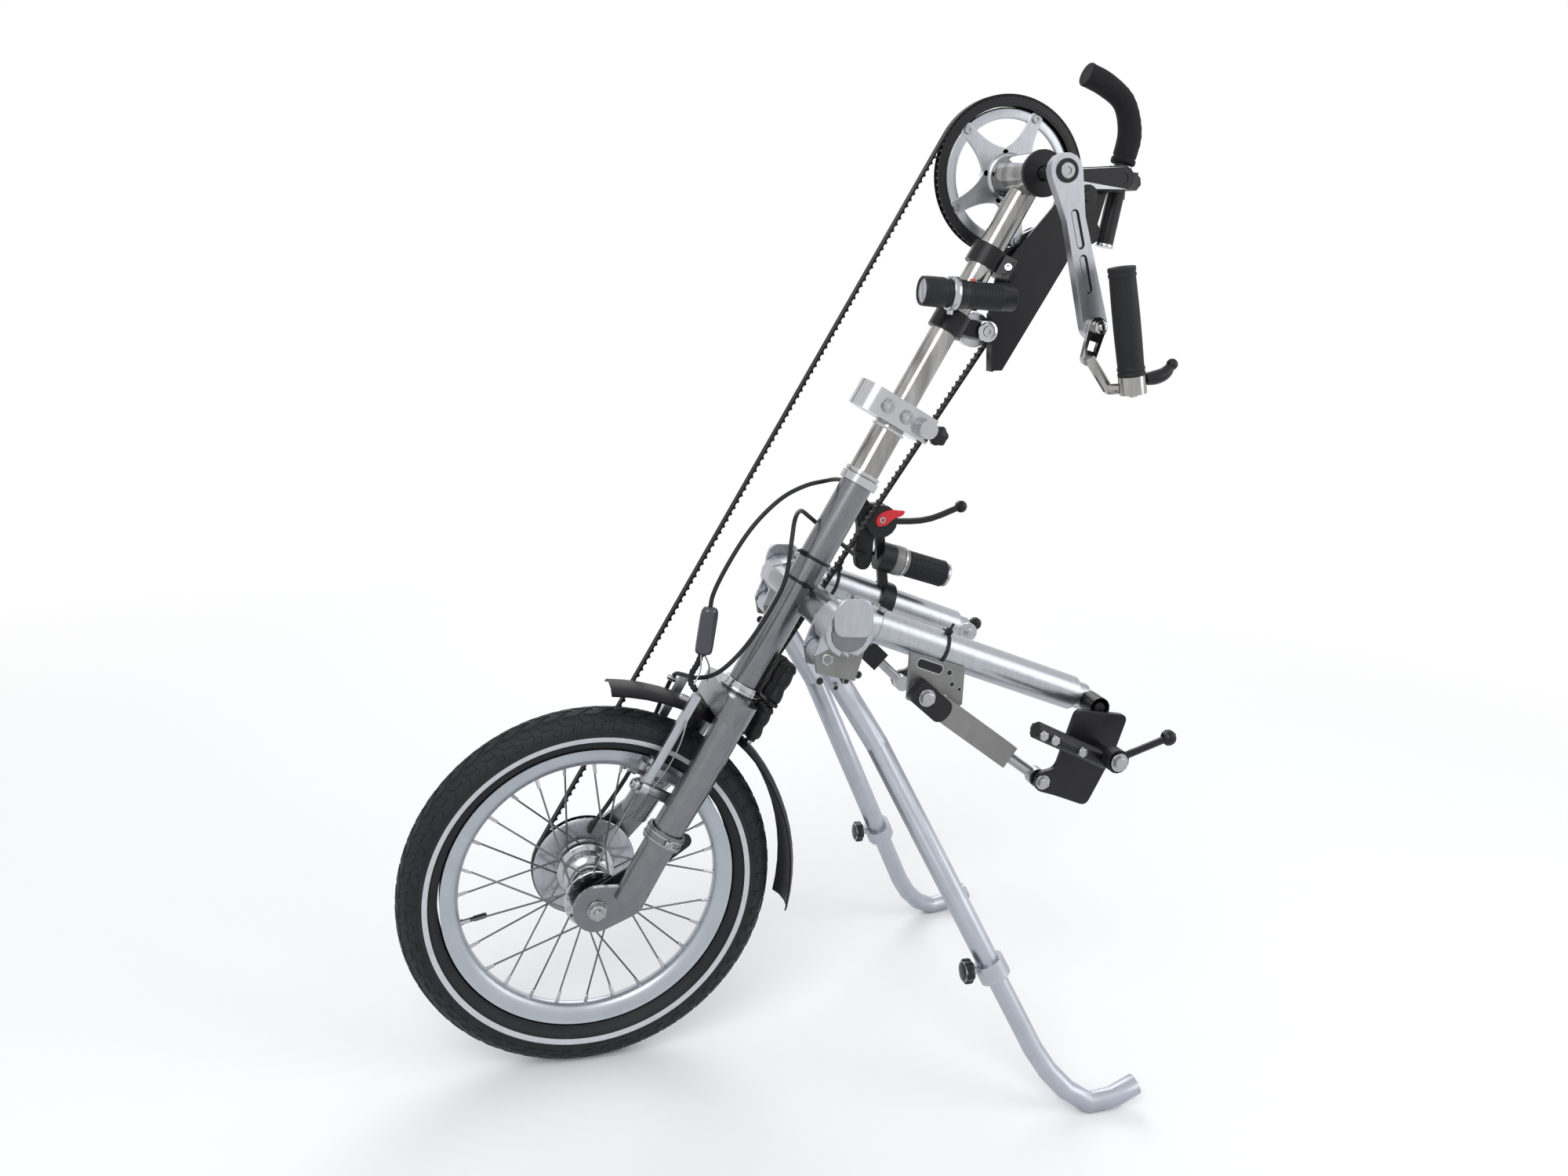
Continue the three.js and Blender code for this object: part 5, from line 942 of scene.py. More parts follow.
# Details of the fork: bolts and springs of the brake arms, and the reaction arm's clip

def make_brakes():
    for name, side in SIDES:
        body = name + "_brake_arm"
        pivot = on(-53, side * 31, 129.5)
        bm = bmesh.new()
        cap_screw(bm, pivot + ACROSS * -0.011, -ACROSS, 5.2, 4)
        boss = [(0, 0), (7.2, 0), (7.6, 0.6), (7.6, 3.4), (7.2, 4), (0, 4)]
        lathe(bm, boss, pivot - ACROSS * 0.008, -ACROSS, 24)
        hex_head(bm, on(-60, side * 31, 160), -ACROSS, 4.6, 3.6)
        lathe(bm, [(0, 0), (3.4, 0), (3.4, 9), (2.6, 10), (0, 10)], on(-60, side * 33, 236), -ACROSS, 16)
        finish_piece(body + "_bolts", bm, body, "steel")
        bm = bmesh.new()
        spots = ((-47, 40, 134), (-45, 44, 160), (-46, 44, 190), (-50, 40, 214))
        pipe(bm, smooth_line([on(u, side * y, w) for u, y, w in spots], 24), 0.9, 8)
        finish_piece(body + "_spring", bm, "steering", "steel")


def make_fork_details():
    bm = bmesh.new()
    for a, b in ((93, 95.5), (100.5, 103)):
        lathe(bm, [(21.6, a), (22.3, a + 0.5), (22.3, b - 0.5), (21.6, b)], on(-14, -54, 0), UP, 40)
    finish_piece("clip_edges", bm, "steering", "steel")
    bm = bmesh.new()
    for side in (-1, 1):
        cap_screw(bm, CLIP + SIDE * side * 0.023, SIDE * side, 4.4, 3.6)
    finish_piece("clip_bolts", bm, "steering", "steel")


make_brakes()
make_fork_details()


# Handles

NEAR_LEAN = math.radians(-12.2)
NEAR_TIP = Vector((274.37, 0, 841.33)) / 1000
FAR_TIP = Vector((392.89, 0, 1018.37)) / 1000
NEAR_AXIS = Vector((math.sin(NEAR_LEAN), 0, math.cos(NEAR_LEAN)))
GRIP_Y = 130
POST_X = 26
FAR_LINE = [(0, 0), (0.2, 0.38), (-0.2, 0.72), (-1.1, 0.9), (-2.07, 1)]
FAR_STEPS = 96


def near_held(x, y, z):
    """A point counted from the near crank's tip, leaning with the handle."""
    across = Vector((math.cos(NEAR_LEAN), 0, -math.sin(NEAR_LEAN)))
    return NEAR_TIP + (across * x + SIDE * y + NEAR_AXIS * z) / 1000


def far_held(x, y, z):
    """A point counted from the far crank's tip."""
    return FAR_TIP + Vector((x, y, z)) / 1000


def make_near_grip():
    bm = bmesh.new()
    places = [(9, 0), (14.6, 0), (15, 0.6), (15, 3.2), (14.2, 3.8), (14.2, 5.2), (15, 5.8), (15, 8.4),
              (14.2, 9.2)]
    rows = 52
    for at in range(rows + 1):
        places.append((14.2 + 0.6 * math.sin(math.pi * at / rows), 9.6 + 95 * at / rows))
    places += [(14.2, 105.4), (15, 106.2), (15, 109), (14.3, 109.8), (14.3, 110.8), (15, 111.6), (15, 115),
               (14.4, 116), (10, 116), (8, 115)]

    def pattern(at, turn):
        if at < 10 or at > rows + 8:
            return 1
        row = (at - 9) / 4
        wave = abs(((turn * 8 / math.pi + (row if int(row) % 2 else -row)) % 1) - 0.5)
        return 1 - 0.03 * (wave > 0.3)

    lathe(bm, places, near_held(15.5, -GRIP_Y, -53), NEAR_AXIS, 64, pattern)
    finish_piece("near_grip_skin", bm, "near_handle", "rubber", ("near_grip",), angle=60)
    bm = bmesh.new()
    spots = ((31.2, -60), (44, -60.4), (56, -58), (66, -50))
    line = smooth_line([near_held(x, -GRIP_Y, z) for x, z in spots], 20)
    sizes = [5.2 + 2.6 * math.sin(math.pi * min(1, at / 20 + 0.12)) ** 0.7 for at in range(21)]
    pipe(bm, line, 0, 20, radii=sizes)
    ball_at(bm, line[-1], 6.4, 20)
    finish_piece("wrist_paddle_skin", bm, "near_handle", "black", ("wrist_paddle",), angle=60)
    bm = bmesh.new()
    hex_head(bm, near_held(15.5, -GRIP_Y, -73), -NEAR_AXIS, 4.6, 3.4)
    hex_head(bm, near_held(0, -99.8, 0), -SIDE, 7.2, 4.4)
    lathe(bm, [(0, 0), (3.6, 0), (3.6, 2.6), (2.8, 3.2), (0, 3.2)], near_held(0, -104.2, 0), -SIDE, 16)
    finish_piece("near_handle_nuts", bm, "near_handle", "polished")


def far_size(share):
    """The foam grip's radius at a share of its length, with a collar at each end."""
    if share < 0.05:
        return 15.6 if share > 0.01 else 14.8
    if share < 0.07:
        return 14.0
    if share > 0.965:
        return 15.3 if share < 0.995 else 14.4
    return 14.6 + 0.5 * math.sin(share * 9)


def make_far_grip():
    line = smooth_line([far_held(POST_X + 30 * x, GRIP_Y, 22 + 104 * z) for x, z in FAR_LINE], FAR_STEPS)
    sizes = [far_size(at / FAR_STEPS) for at in range(FAR_STEPS + 1)]

    def ribs(at, turn):
        share = at / FAR_STEPS
        if 0.16 < share < 0.62:
            bump = max(0, math.cos(turn)) ** 3
            return 1 + 0.045 * bump * (0.5 + 0.5 * math.cos(at * 2 * math.pi / 6))
        return 1

    bm = bmesh.new()
    pipe(bm, line, 0, 48, radii=sizes, ripple=ribs, lead=(1, 0, 0))
    finish_piece("far_grip_skin", bm, "far_handle", "foam", ("far_grip",), angle=55)
    bm = bmesh.new()
    big_knob = [(0, 0), (16, 0), (17.4, 1.6), (17.4, 12), (16, 14), (0, 14)]
    lathe(bm, big_knob, far_held(0, 99, 0), SIDE, 60, scalloped(0.09, 6, 0, 5))
    knob = [(0, 0), (9, 0), (10, 1), (10, 10), (8, 13), (0, 13)]
    lathe(bm, knob, far_held(POST_X + 8, GRIP_Y - 6, 0), (1, 0, 0), 48, scalloped(0.16, 5, 0, 5))
    finish_piece("far_handle_knobs", bm, "far_handle", "plastic")
    bm = bmesh.new()
    collar = [(11.3, 0), (12.6, 0.4), (12.6, 8.6), (11.3, 9)]
    ring_about(bm, collar, far_held(POST_X, GRIP_Y, 10), (0, 0, 1), 40)
    cap = [(11.2, 0), (11.5, 0.4), (11.5, 3.4), (10.6, 4.2), (0, 4.4)]
    lathe(bm, cap, far_held(10.6, GRIP_Y, -79), Vector((-16, 0, -104)), 40)
    for x, z in ((-20, -73), (-78, -80)):
        cap_screw(bm, far_held(x, 127.4, z), -SIDE, 4.6, 3.4)
    finish_piece("far_handle_metal", bm, "far_handle", "polished")


def make_crank_details():
    for (name, side), turn in zip(SIDES, (NEAR_TURN, FAR_TURN)):
        way = SIDE * side
        root = CRANK_AXLE + way * CRANK_FACE / 1000
        tip = root + crank_way(turn) * CRANK_LONG / 1000
        bm = bmesh.new()
        ring_about(bm, [(8.6, 0), (12.4, 0), (12.8, 0.5), (12.8, 1.4), (12.2, 2), (8.6, 2)], root, way, 48)
        finish_piece(name + "_crank_ring", bm, "cranks", "black")
        bm = bmesh.new()
        cap_screw(bm, root, way, 8.2, 2.6)
        ring_about(bm, [(6.6, 0), (9.6, 0), (9.9, 0.4), (9.9, 1), (6.6, 1)], tip, way, 40)
        finish_piece(name + "_crank_bolt", bm, "cranks", "steel")


# Headlight

LIGHT_W = 772
LIGHT_TURN = math.radians(26)
LIGHT_AXIS = ACROSS * math.cos(LIGHT_TURN) + UP * math.sin(LIGHT_TURN)
LIGHT_SIDE = UP * math.cos(LIGHT_TURN) - ACROSS * math.sin(LIGHT_TURN)


def make_headlight():
    centre = on(0, -42, LIGHT_W)
    torch = near_line(centre, LIGHT_AXIS, 21)
    dressed("headlight", "plastic", drop=lambda point: torch(point) and point.y < -0.026)
    bm = bmesh.new()
    places = [(13.4, -69), (14.4, -70), (15.8, -69.6), (16.4, -68), (16.6, -46), (16.4, -44.8), (15.2, -44),
              (15.2, -41), (15.9, -40), (16, -20), (15.2, -18.6)]
    for at in range(10):
        low = -17 + at * 4
        places += [(15.2, low), (14.7, low + 0.6), (14.7, low + 2), (15.2, low + 2.6)]
    places += [(15, 24), (14.6, 25), (14.6, 30), (14, 31), (14, 38), (13, 39.6), (0, 40)]
    lathe(bm, places, centre, LIGHT_AXIS, 64)
    lathe(bm, [(13.4, -69), (9, -62), (4, -58), (0, -57.6)], centre, LIGHT_AXIS, 48)
    for at in range(5):
        base = centre + LIGHT_AXIS * (-0.064 + at * 0.0045)
        for step in range(20):
            a = 2 * math.pi * step / 20
            out = SIDE * math.cos(a) + LIGHT_SIDE * math.sin(a)
            ball_at(bm, base + out * 0.0163, 0.7, 6)
    finish_piece("torch_body", bm, "steering", "plastic", angle=35)
    bm = bmesh.new()
    lens = [(0, -67.4), (7, -67.2), (13.2, -66.4), (13.2, -68.2), (7, -68.9), (0, -69.1)]
    lathe(bm, lens, centre, LIGHT_AXIS, 48)
    finish_piece("torch_lens", bm, "steering", "lens")
    bm = bmesh.new()
    band = [(16.3, -38.4), (18.6, -38), (19, -37.4), (19, -30.6), (18.6, -30), (16.3, -29.6)]
    ring_about(bm, band, centre, LIGHT_AXIS, 56)
    cap_screw(bm, centre + LIGHT_AXIS * -0.034 - LIGHT_SIDE * 0.018, -LIGHT_SIDE, 3.4, 5)
    finish_piece("torch_band", bm, "steering", "polished")
    bm = bmesh.new()
    button_at = centre + LIGHT_AXIS * -0.012 + LIGHT_SIDE * 0.0156 - SIDE * 0.002
    lathe(bm, [(0, 0), (3.4, 0), (3.4, 1), (2.6, 1.8), (0, 2)], button_at, LIGHT_SIDE, 20)
    finish_piece("torch_button", bm, "steering", "red")
    bm = bmesh.new()
    edge = [(20.1, 0), (20.8, 0.2), (20.8, 1), (20.1, 1.2)]
    for rise in (-9.2, 8):
        ring_about(bm, edge, on(0, 0, LIGHT_W + rise), UP, 40)
    cap_screw(bm, on(-22, -6, LIGHT_W), -ACROSS, 3.6, 4)
    finish_piece("torch_clamp_screws", bm, "steering", "steel")


make_near_grip()
make_far_grip()
make_crank_details()
make_headlight()


# Rubber damper between the head tube and the fork: bellows lobes pinched by a strap

DAMPER_U = 34
LOBES = 4
LOBE_STEPS = 26


def lobe(bm, at, low, high):
    """One bellows lobe, drawn in towards its middle and closed at its ends."""
    y = -17.5 + at * 35 / (LOBES - 1)
    line, sizes = [], []
    for step in range(LOBE_STEPS + 1):
        share = step / LOBE_STEPS
        spread = 0.86 + 0.14 * abs(share - 0.5) * 2
        line.append(on(DAMPER_U + 1.5 * math.sin(at * 2.1), y * spread, low + (high - low) * share))
        ends = min(1, 6 * share + 0.3, 6 * (1 - share) + 0.3)
        sizes.append((6.6 + 1.7 * abs(math.sin(share * math.pi * 2.5))) * ends ** 0.6)
    pipe(bm, line, 0, 20, radii=sizes)


def make_damper():
    for name, low, high, body in (("lower", 223, 265.2, "steering"), ("upper", 266.8, 317, "main_frame")):
        bm = bmesh.new()
        for at in range(LOBES):
            lobe(bm, at, low, high)
        for w in (low + 4, high - 9):
            slab(bm, rounded(oblong(22, 4), 3), on(DAMPER_U, 0, w), SIDE, ACROSS, 5)
        finish_piece(f"damper_{name}_lobes", bm, body, "rubber", ("damper_" + name,), angle=60)
    bm = bmesh.new()
    slab(bm, rounded(oblong(27, 6), 5, 6), on(DAMPER_U, 0, 267), SIDE, -ACROSS, 4)
    finish_piece("damper_strap", bm, "main_frame", "black", bevel=0.6)
    bm = bmesh.new()
    for y in (-14, 14):
        hex_head(bm, on(DAMPER_U, y, 221), -UP, 4.4, 3.2)
    slab(bm, rounded(oblong(8, 7), 2), on(42, 14, 228), UP, SIDE, 2)
    finish_piece("damper_bolts", bm, "steering", "steel", bevel=0.3)


# Cable ties, covers, screws and nuts on the frame's arms and the legs

def tie(bm, centre, way, radius, buckle):
    """A cable tie round a tube, its buckle on the side that the last value points to."""
    low, top = radius + 1.1, radius + 1.3
    strip = [(radius, -1.8), (low, -1.8), (top, -1.4), (top, 1.4), (low, 1.8), (radius, 1.8)]
    ring_about(bm, strip, centre, way, 48)
    way = Vector(way).normalized()
    out = (Vector(buckle) - way * way.dot(Vector(buckle))).normalized()
    base = centre + out * (radius + 0.6) / 1000
    across = way.cross(out)
    slab(bm, oblong(3, 3), base, across, way, 4.4)
    slab(bm, [(-1, -1.3), (1, -1.3), (0.6, 1.3), (-0.6, 1.3)], base + out * 0.003, across, way, 9)


def make_arm_details():
    bm = bmesh.new()
    tie(bm, on(0, 0, 402), UP, 18.5, (0, -1, 0.2))
    tie(bm, on(0, 0, 432), UP, 18.5, (-1, -0.5, 0.2))
    tie(bm, on_arm(-1, 118), ARM_WAY, 19.2, (0, -0.3, 1))
    tie(bm, on_arm(1, 62), ARM_WAY, 19.2, (0, -0.3, 1))
    tie(bm, on_arm(1, 128), ARM_WAY, 19.2, (0, -0.3, -1))
    finish_piece("cable_ties", bm, "main_frame", "plastic", bevel=0.2)
    bm = bmesh.new()
    for side in (-1, 1):
        for along in (4, 34):
            for out in (-10, 10):
                cap_screw(bm, on_arm(side, along, 17, out), ARM_UP, 4.4, 4.2)
    finish_piece("clamp_cover_screws", bm, "main_frame", "steel")
    bm = bmesh.new()
    for side in (-1, 1):
        hex_head(bm, mm(218, side * CHEEK_Y, 487), SIDE * side, 6.2, 4)
    finish_piece("leg_pivot_nuts", bm, "main_frame", "steel")
    cover = rounded([(-20, -19), (20, -21), (22, 2), (17, 20), (-15, 21), (-22, 4)], 11, 6)
    for name, side in SIDES:
        bm = bmesh.new()
        slab(bm, cover, mm(240, side * 130.4 + 2.3 * (1 + side), 533), (1, 0, 0), (0, 0, 1), 4.6)
        finish_piece(name + "_cover", bm, "main_frame", "satin", bevel=1.8, angle=50)
    for name, side in SIDES:
        x, z = ARM_EYES[name]
        bm = bmesh.new()
        hex_head(bm, mm(x, side * 95.2, z), -SIDE * side, 5.4, 3.6)
        finish_piece(name + "_arm_end_bolt", bm, name + "_arm_slide", "steel")


def make_leg_details():
    knob = [(0, -8), (4.6, -8), (5, -7.6), (9, -7.2), (12.4, -6.4), (13, -5), (13, 1), (12.2, 2.4), (8, 3.6),
            (0, 4)]
    for name, side in SIDES:
        joint, ring = mm(283, side * 112, 388), mm(408, side * 176, 152)
        down = (ring - joint).normalized()
        bm = bmesh.new()
        lathe(bm, knob, ring - Vector((0.031, 0, 0)), (-1, 0, 0), 60, scalloped(0.13, 6, 2, 8))
        finish_piece(name + "_leg_knob", bm, name + "_leg_upper", "black", angle=50)
        bm = bmesh.new()
        for at in (-9.4, 8.2):
            ring_about(bm, [(15.9, at), (17, at + 0.2), (17, at + 1.4), (15.9, at + 1.6)], ring, down, 40)
        finish_piece(name + "_leg_collar_edges", bm, name + "_leg_upper", "polished")


make_damper()
make_arm_details()
make_leg_details()


# Hand lever set: rubber body, red lock lever and twist shifter

LEVER_X, LEVER_Z = 348, 590
SHIFTER_AT = mm(368, 98, 541)
SHIFTER_DROP = math.radians(16)
LEVER_BODY = [(-30, 18), (-8, 22), (4, 10), (1, -3), (-6, -23), (-6, -50), (-12, -62), (-26, -60), (-30, -38),
              (-26, -10), (-32, 6)]
LOCK_WEDGE = [(-8, -7), (4, -8), (13, -2), (27, 0), (31, 5), (20, 8), (12, 11), (-2, 9), (-9, 2)]


def make_shifter():
    """The ribbed twist grip, its collar and its bright rings."""
    start = SHIFTER_AT
    way = Vector((math.cos(SHIFTER_DROP), 0, -math.sin(SHIFTER_DROP)))
    bm = bmesh.new()
    places = [(11.4, 20), (15.2, 20), (16, 21)]
    for at in range(14):
        low = 22 + at * 3.6
        places += [(16.4, low), (16.6, low + 0.6), (16.6, low + 2.4), (16.0, low + 3.2)]
    places += [(15.4, 73.6), (11.4, 74)]
    lathe(bm, places, start, way, 64, scalloped(0.04, 12, 2, 56))
    finish_piece("twist_grip", bm, "shifter", "rubber", ("shifter_grip",), angle=55)
    bm = bmesh.new()
    collar = [(11.4, 0.4), (17.2, 0.4), (18.2, 1.4), (18.4, 9), (17.6, 12), (16.8, 19), (11.4, 19.6)]
    ring_about(bm, collar, start, way, 56)
    finish_piece("twist_collar", bm, "shifter", "box", angle=40)
    bm = bmesh.new()
    end_ring = [(11.6, 74.2), (14.6, 74.2), (15.2, 75), (15.2, 77), (14.4, 78), (11.6, 78)]
    ring_about(bm, end_ring, start, way, 48)
    ring_about(bm, [(17.4, 12.4), (18.4, 12.8), (18.4, 14.6), (17.2, 15)], start, way, 48)
    finish_piece("twist_rings", bm, "shifter", "polished")


def make_lever_set():
    """The body under the hood, the shifter, the red lever with its ribs, and the pivot's screw."""
    bm = bmesh.new()
    slab(bm, rounded(LEVER_BODY, 9, 4), mm(LEVER_X, 105.6, LEVER_Z), (1, 0, 0), (0, 0, 1), 15)
    finish_piece("lever_body", bm, "main_frame", "rubber", bevel=3.2, angle=60)
    make_shifter()
    bm = bmesh.new()
    root = mm(LEVER_X, 88.4, LEVER_Z + 2)
    slab(bm, rounded(LOCK_WEDGE, 4), root, (0.98, 0, 0.2), (-0.2, 0, 0.98), 5.4)
    for at in range(4):
        rib = root + Vector((0.012 + at * 0.003, 0, 0.0048))
        straight(bm, rib - SIDE * 0.0055, rib + SIDE * 0.0002, 0.9, 10)
    finish_piece("lock_wedge", bm, "lock_lever", "red", ("lock_lever",), bevel=1.2, angle=50)
    bm = bmesh.new()
    stud = [(0, 0), (4.4, 0), (4.4, 3), (3.4, 4), (3.4, 12), (0, 12.4)]
    lathe(bm, stud, mm(LEVER_X, 84, LEVER_Z + 2), SIDE, 24)
    cap_screw(bm, mm(LEVER_X, 84.4, LEVER_Z + 2), -SIDE, 4, 2)
    finish_piece("lever_pivot_screw", bm, "main_frame", "steel")


# Stem clamp, idler end and rings on the posts

STEM_W = 618


def make_stem_details():
    bm = bmesh.new()
    for u in (-24, 2):
        cap_screw(bm, on(u, -25.4, STEM_W), -SIDE, 6.4, 5)
        hex_head(bm, on(u, 25.4, STEM_W), SIDE, 6.0, 5)
        washer(bm, on(u, -24.9, STEM_W), -SIDE, 3, 8.4, 1.2)
    finish_piece("stem_screws", bm, "steering", "steel")
    bm = bmesh.new()
    knob = [(0, 0), (5, 0), (5, 4), (10.6, 5), (11.6, 6.2), (11.6, 12.6), (10.4, 14), (0, 14.6)]
    lathe(bm, knob, on(42, -24.6, STEM_W), -SIDE, 60, scalloped(0.12, 6, 2, 7))
    finish_piece("stem_knob", bm, "steering", "black", angle=50)
    bm = bmesh.new()
    cap = [(6.4, 0), (11.4, 0), (12, 0.6), (12, 3.4), (11.2, 4), (6.4, 4)]
    ring_about(bm, cap, on(IDLER_U, 9.8, IDLER_W), -SIDE, 40)
    cap_screw(bm, on(IDLER_U, 8.6, IDLER_W), -SIDE, 6.2, 4.2)
    finish_piece("idler_cap", bm, "steering", "polished")
    bm = bmesh.new()
    ring_about(bm, [(16.6, 0), (19, 0), (19.4, 0.5), (19.4, 3), (16.6, 3.4)], on(0, 0, 596), UP, 48)
    ring_about(bm, [(17.9, 0), (20.4, 0.4), (20.4, 3.6), (17.9, 4)], on(0, 0, 539), UP, 48)
    finish_piece("post_rings", bm, "steering", "polished")


# Chair clamp hardware

def make_clamp_details():
    along = Vector((0.91, 0, -0.415))
    jaw = rounded([(-46, -9), (44, -9), (46, 0), (44, 9), (-46, 9), (-48, 0)], 4)
    for name, side in SIDES:
        x, z = ARM_EYES[name]
        body = name + "_chair_clamp"
        way = SIDE * side
        bm = bmesh.new()
        for dx, dz in ((-88, -12), (-74, -18), (-40, -33)):
            hex_head(bm, mm(x + dx, side * 184.6, z + dz), way, 4.8, 4.6)
            straight(bm, mm(x + dx, side * 160, z + dz), mm(x + dx, side * 168, z + dz), 2.6, 12)
        hex_head(bm, mm(x - 67, side * 156.6, z - 77), way, 5.6, 4.6)
        washer(bm, mm(x - 67, side * 155.8, z - 77), way, 3, 8.2, 1.2)
        finish_piece(name + "_clamp_bolts", bm, body, "steel")
        bm = bmesh.new()
        across = Vector((-0.415, 0, -0.91)) * side
        slab(bm, jaw, mm(x - 49, side * 167.4, z - 29), along, across, 9)
        floor = [(-44, -4), (40, -4), (40, 4), (-44, 4)]
        slab(bm, floor, mm(x - 49, side * 158.6, z - 29), along, across, 8)
        finish_piece(name + "_jaw_channel", bm, body, "black", bevel=1.2, angle=50)
        bm = bmesh.new()
        hex_head(bm, mm(x - 5, side * 205, z - 40), way, 6.4, 4)
        washer(bm, mm(x - 5, side * 204.2, z - 40), way, 4, 10, 1)
        finish_piece(name + "_lever_nut", bm, name + "_clamp_lever", "steel")


make_lever_set()
make_stem_details()
make_clamp_details()


# Holes and slots drawn with painted shade: a dark floor inside a bright edge on the cheek plates and hanger
# plates, and a dark outline round a bright middle on a crank

CHEEK_HOLES = [(246, 480, 2.6), (254, 468, 3.6), (241, 462, 3.0), (209, 497, 2.4), (230, 455, 2.6),
               (212, 463, 3.8)]
HANGER_HOLES = [(354, 469, 2.8), (358, 456, 2.4), (367, 450, 2.0)]


def make_holes():
    for name, side in SIDES:
        dark, bright = bmesh.new(), bmesh.new()
        way = SIDE * side
        for y, (x, z, size) in [(CHEEK_Y, h) for h in CHEEK_HOLES] + [(HANGER_Y, h) for h in HANGER_HOLES]:
            spot = mm(x, side * y, z)
            # Each hole is a dark disc of painted shade lying on the plate, with a raised steel edge round it.
            lathe(dark, [(0, 0), (size, 0), (size, 0.3), (0, 0.3)], spot, way, 20)
            ring_about(bright, [(size, 0), (size + 0.8, 0), (size + 0.6, 0.4), (size, 0.4)], spot, way, 24)
        finish_piece(name + "_hole_painted_shade", dark, "main_frame", "black")
        finish_piece(name + "_hole_edges", bright, "main_frame", "steel")
        bm = bmesh.new()
        hex_head(bm, mm(STRUT_X, side * 147.2, STRUT_Z), way, 6.8, 4.6)
        washer(bm, mm(STRUT_X, side * 146.2, STRUT_Z), way, 4, 9.4, 0.9)
        finish_piece(name + "_strut_bolt", bm, name + "_strut_box", "steel")


# Rings of the headset, the crown's bolt, the cable boots and the splitter

SPLITTER = [(0, 0), (3.2, 0), (4.2, 1.2), (8.4, 2.6), (9.6, 5.2), (9.9, 12), (9.9, 44), (9.2, 50),
            (7.2, 53.4), (3.2, 55), (0, 55.2)]


def make_small_parts():
    bm = bmesh.new()
    ring_about(bm, [(18.6, 0), (22.6, 0.6), (23.4, 2), (23, 4), (18.6, 4.6)], on(0, 0, 262.6), UP, 48)
    ring_about(bm, [(18.5, 0), (21.4, 0.4), (21.4, 2.6), (18.5, 3)], on(0, 0, 529), UP, 48)
    finish_piece("race_rings", bm, "main_frame", "polished")
    bm = bmesh.new()
    hex_head(bm, on(-19.4, 0, 248), -ACROSS, 5.6, 4.4)
    washer(bm, on(-19, 0, 248), -ACROSS, 3, 8.6, 1)
    finish_piece("crown_bolt", bm, "steering", "steel")
    bm = bmesh.new()
    spots = ((110, -20, 470), (106, -17, 455), (100, -15, 442), (98, -22, 436), (101, -33, 430))
    line = smooth_line([mm(*spot) for spot in spots], 40)
    pipe(bm, line, 0, 20, radii=[3.0 + 0.5 * (at % 4 < 2) for at in range(41)])
    finish_piece("noodle_boot", bm, "steering", "rubber", angle=60)
    bm = bmesh.new()
    for at in range(9):
        low, size = at * 2.0, 4.1 - at * 0.12
        rib = [(2.7, low), (size, low + 0.3), (size, low + 1.3), (2.7, low + 1.7)]
        ring_about(bm, rib, mm(335.1, 98, 603.9), Vector((-15, -10, 19)), 24)
    finish_piece("cable_boot", bm, "main_frame", "rubber")
    dress_splitter()


def dress_splitter():
    """The splitter's flattened box, and the two thin wires that leave it."""
    top, low = mm(116.6, -20, 520), mm(110.4, -20, 464)
    axis = (top - low).normalized()
    bm = bmesh.new()
    lathe(bm, SPLITTER, low, axis, 48)
    for vert in bm.verts:
        off = vert.co - low
        flat = off - axis * off.dot(axis)
        vert.co -= SIDE * flat.dot(SIDE) * 0.28
    finish_piece("splitter_box", bm, body_of_node["cable_splitter"], "smoke", ("cable_splitter",), angle=60)
    bm = bmesh.new()
    for start, end in ((mm(112, -18, 466), mm(119, -10, 432)), (mm(108, -22, 466), mm(98, -30, 432))):
        middle = (start + end) / 2 + Vector((0.004, 0, 0))
        pipe(bm, smooth_line([start, middle, end], 20), 0.9, 10)
    finish_piece("thin_wires", bm, body_of_node["cable_splitter"], "steel")


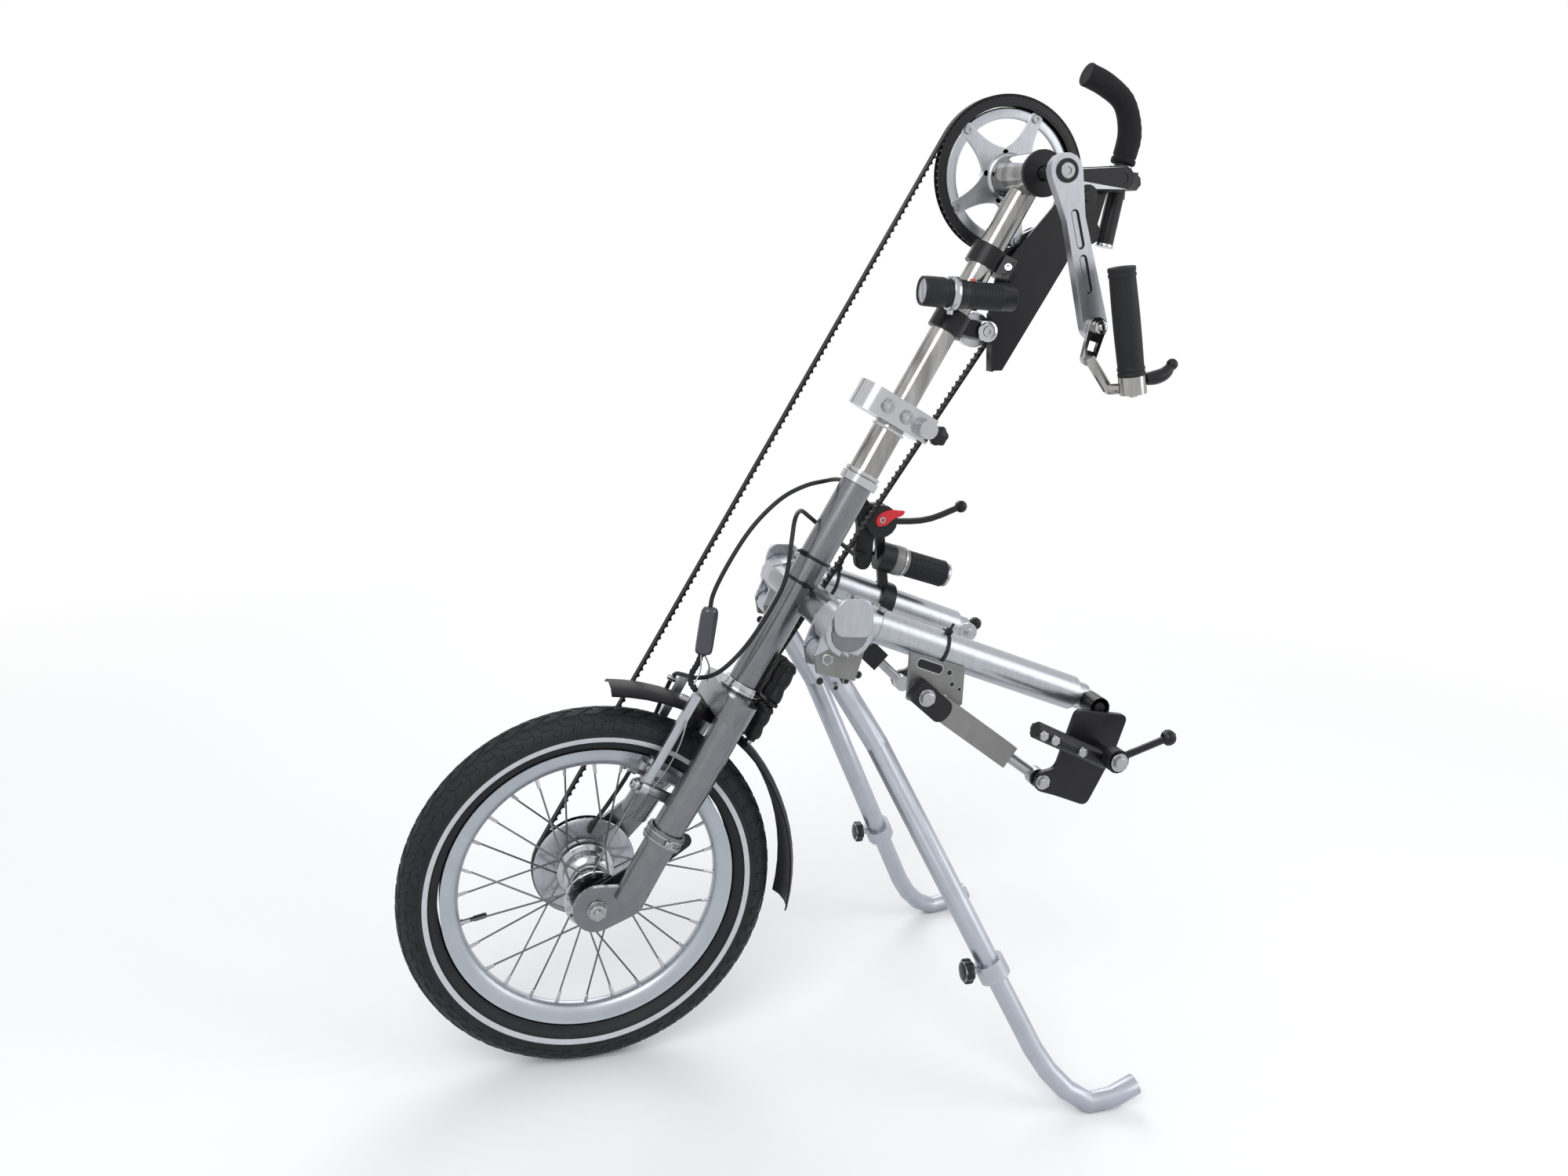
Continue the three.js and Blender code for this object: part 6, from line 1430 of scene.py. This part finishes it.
CLAMP_PLATE = [(-32, 3), (32, -7), (19, -49), (-11, -109), (-50, -94), (-76, -86), (-72, -66), (-52, -64)]


CLAMP_Y = 152
CLAMP_THICK = 8


def make_clamp_plates():
    """The chair clamps, with their plates' corners rounded as on the real ones."""
    half = CLAMP_THICK / 2
    for name, side in SIDES:
        x, z = ARM_EYES[name]
        clamp = name + "_chair_clamp"
        dressed(clamp, "black", drop=lambda p: abs(abs(p.y * 1000) - CLAMP_Y) < half + 0.05)
        bm = bmesh.new()
        top = mm(x, side * CLAMP_Y + half, z)
        slab(bm, rounded(CLAMP_PLATE, 9, 5), top, (1, 0, 0), (0, 0, 1), CLAMP_THICK)
        finish_piece(clamp + "_plate", bm, clamp, "black", (clamp,), bevel=1.4, angle=50)


def make_slots():
    """Long slots drawn as flat marks with painted shade: in the hanger plates and on the near crank's outer
    face.
    """
    slot = rounded(oblong(15, 4.6), 4.5, 6)
    edge = rounded(oblong(16.4, 6), 5.8, 6)
    for name, side in SIDES:
        # On each hanger plate a black slab of painted shade, standing for the slot's dark inside, lies on a
        # larger steel edge.
        for outline, mat, out in ((edge, "steel", 0.2), (slot, "black", 0.5)):
            bm = bmesh.new()
            y = side * (HANGER_Y + out) + 0.2
            slab(bm, outline, mm(331, y, 477), ARM_WAY, ARM_UP, 0.4)
            finish_piece(f"{name}_hanger_{mat}_slot", bm, "main_frame", mat)
    way = crank_way(NEAR_TURN)
    across = Vector((-way.z, 0, way.x))
    for at, share in enumerate((0.27, 0.56)):
        middle = Vector((0.22353, -0.0886, 1.00355)) + way * (share * CRANK_LONG + 17) / 1000
        # In each crank slot a black slab of painted shade lies under a smaller satin one, leaving a dark
        # outline of shade round a bright middle.
        for mat, grow, out in (("black", 0, 0), ("satin", -1.8, 0.0002)):
            half = 4.5 + grow
            bm = bmesh.new()
            slab(bm, rounded(oblong(17 + half, half), half - 0.1, 6), middle - SIDE * out, way, across, 0.3)
            finish_piece(f"crank_slot_{at}_{mat}", bm, "cranks", mat)


make_holes()
make_clamp_plates()
make_slots()
make_small_parts()
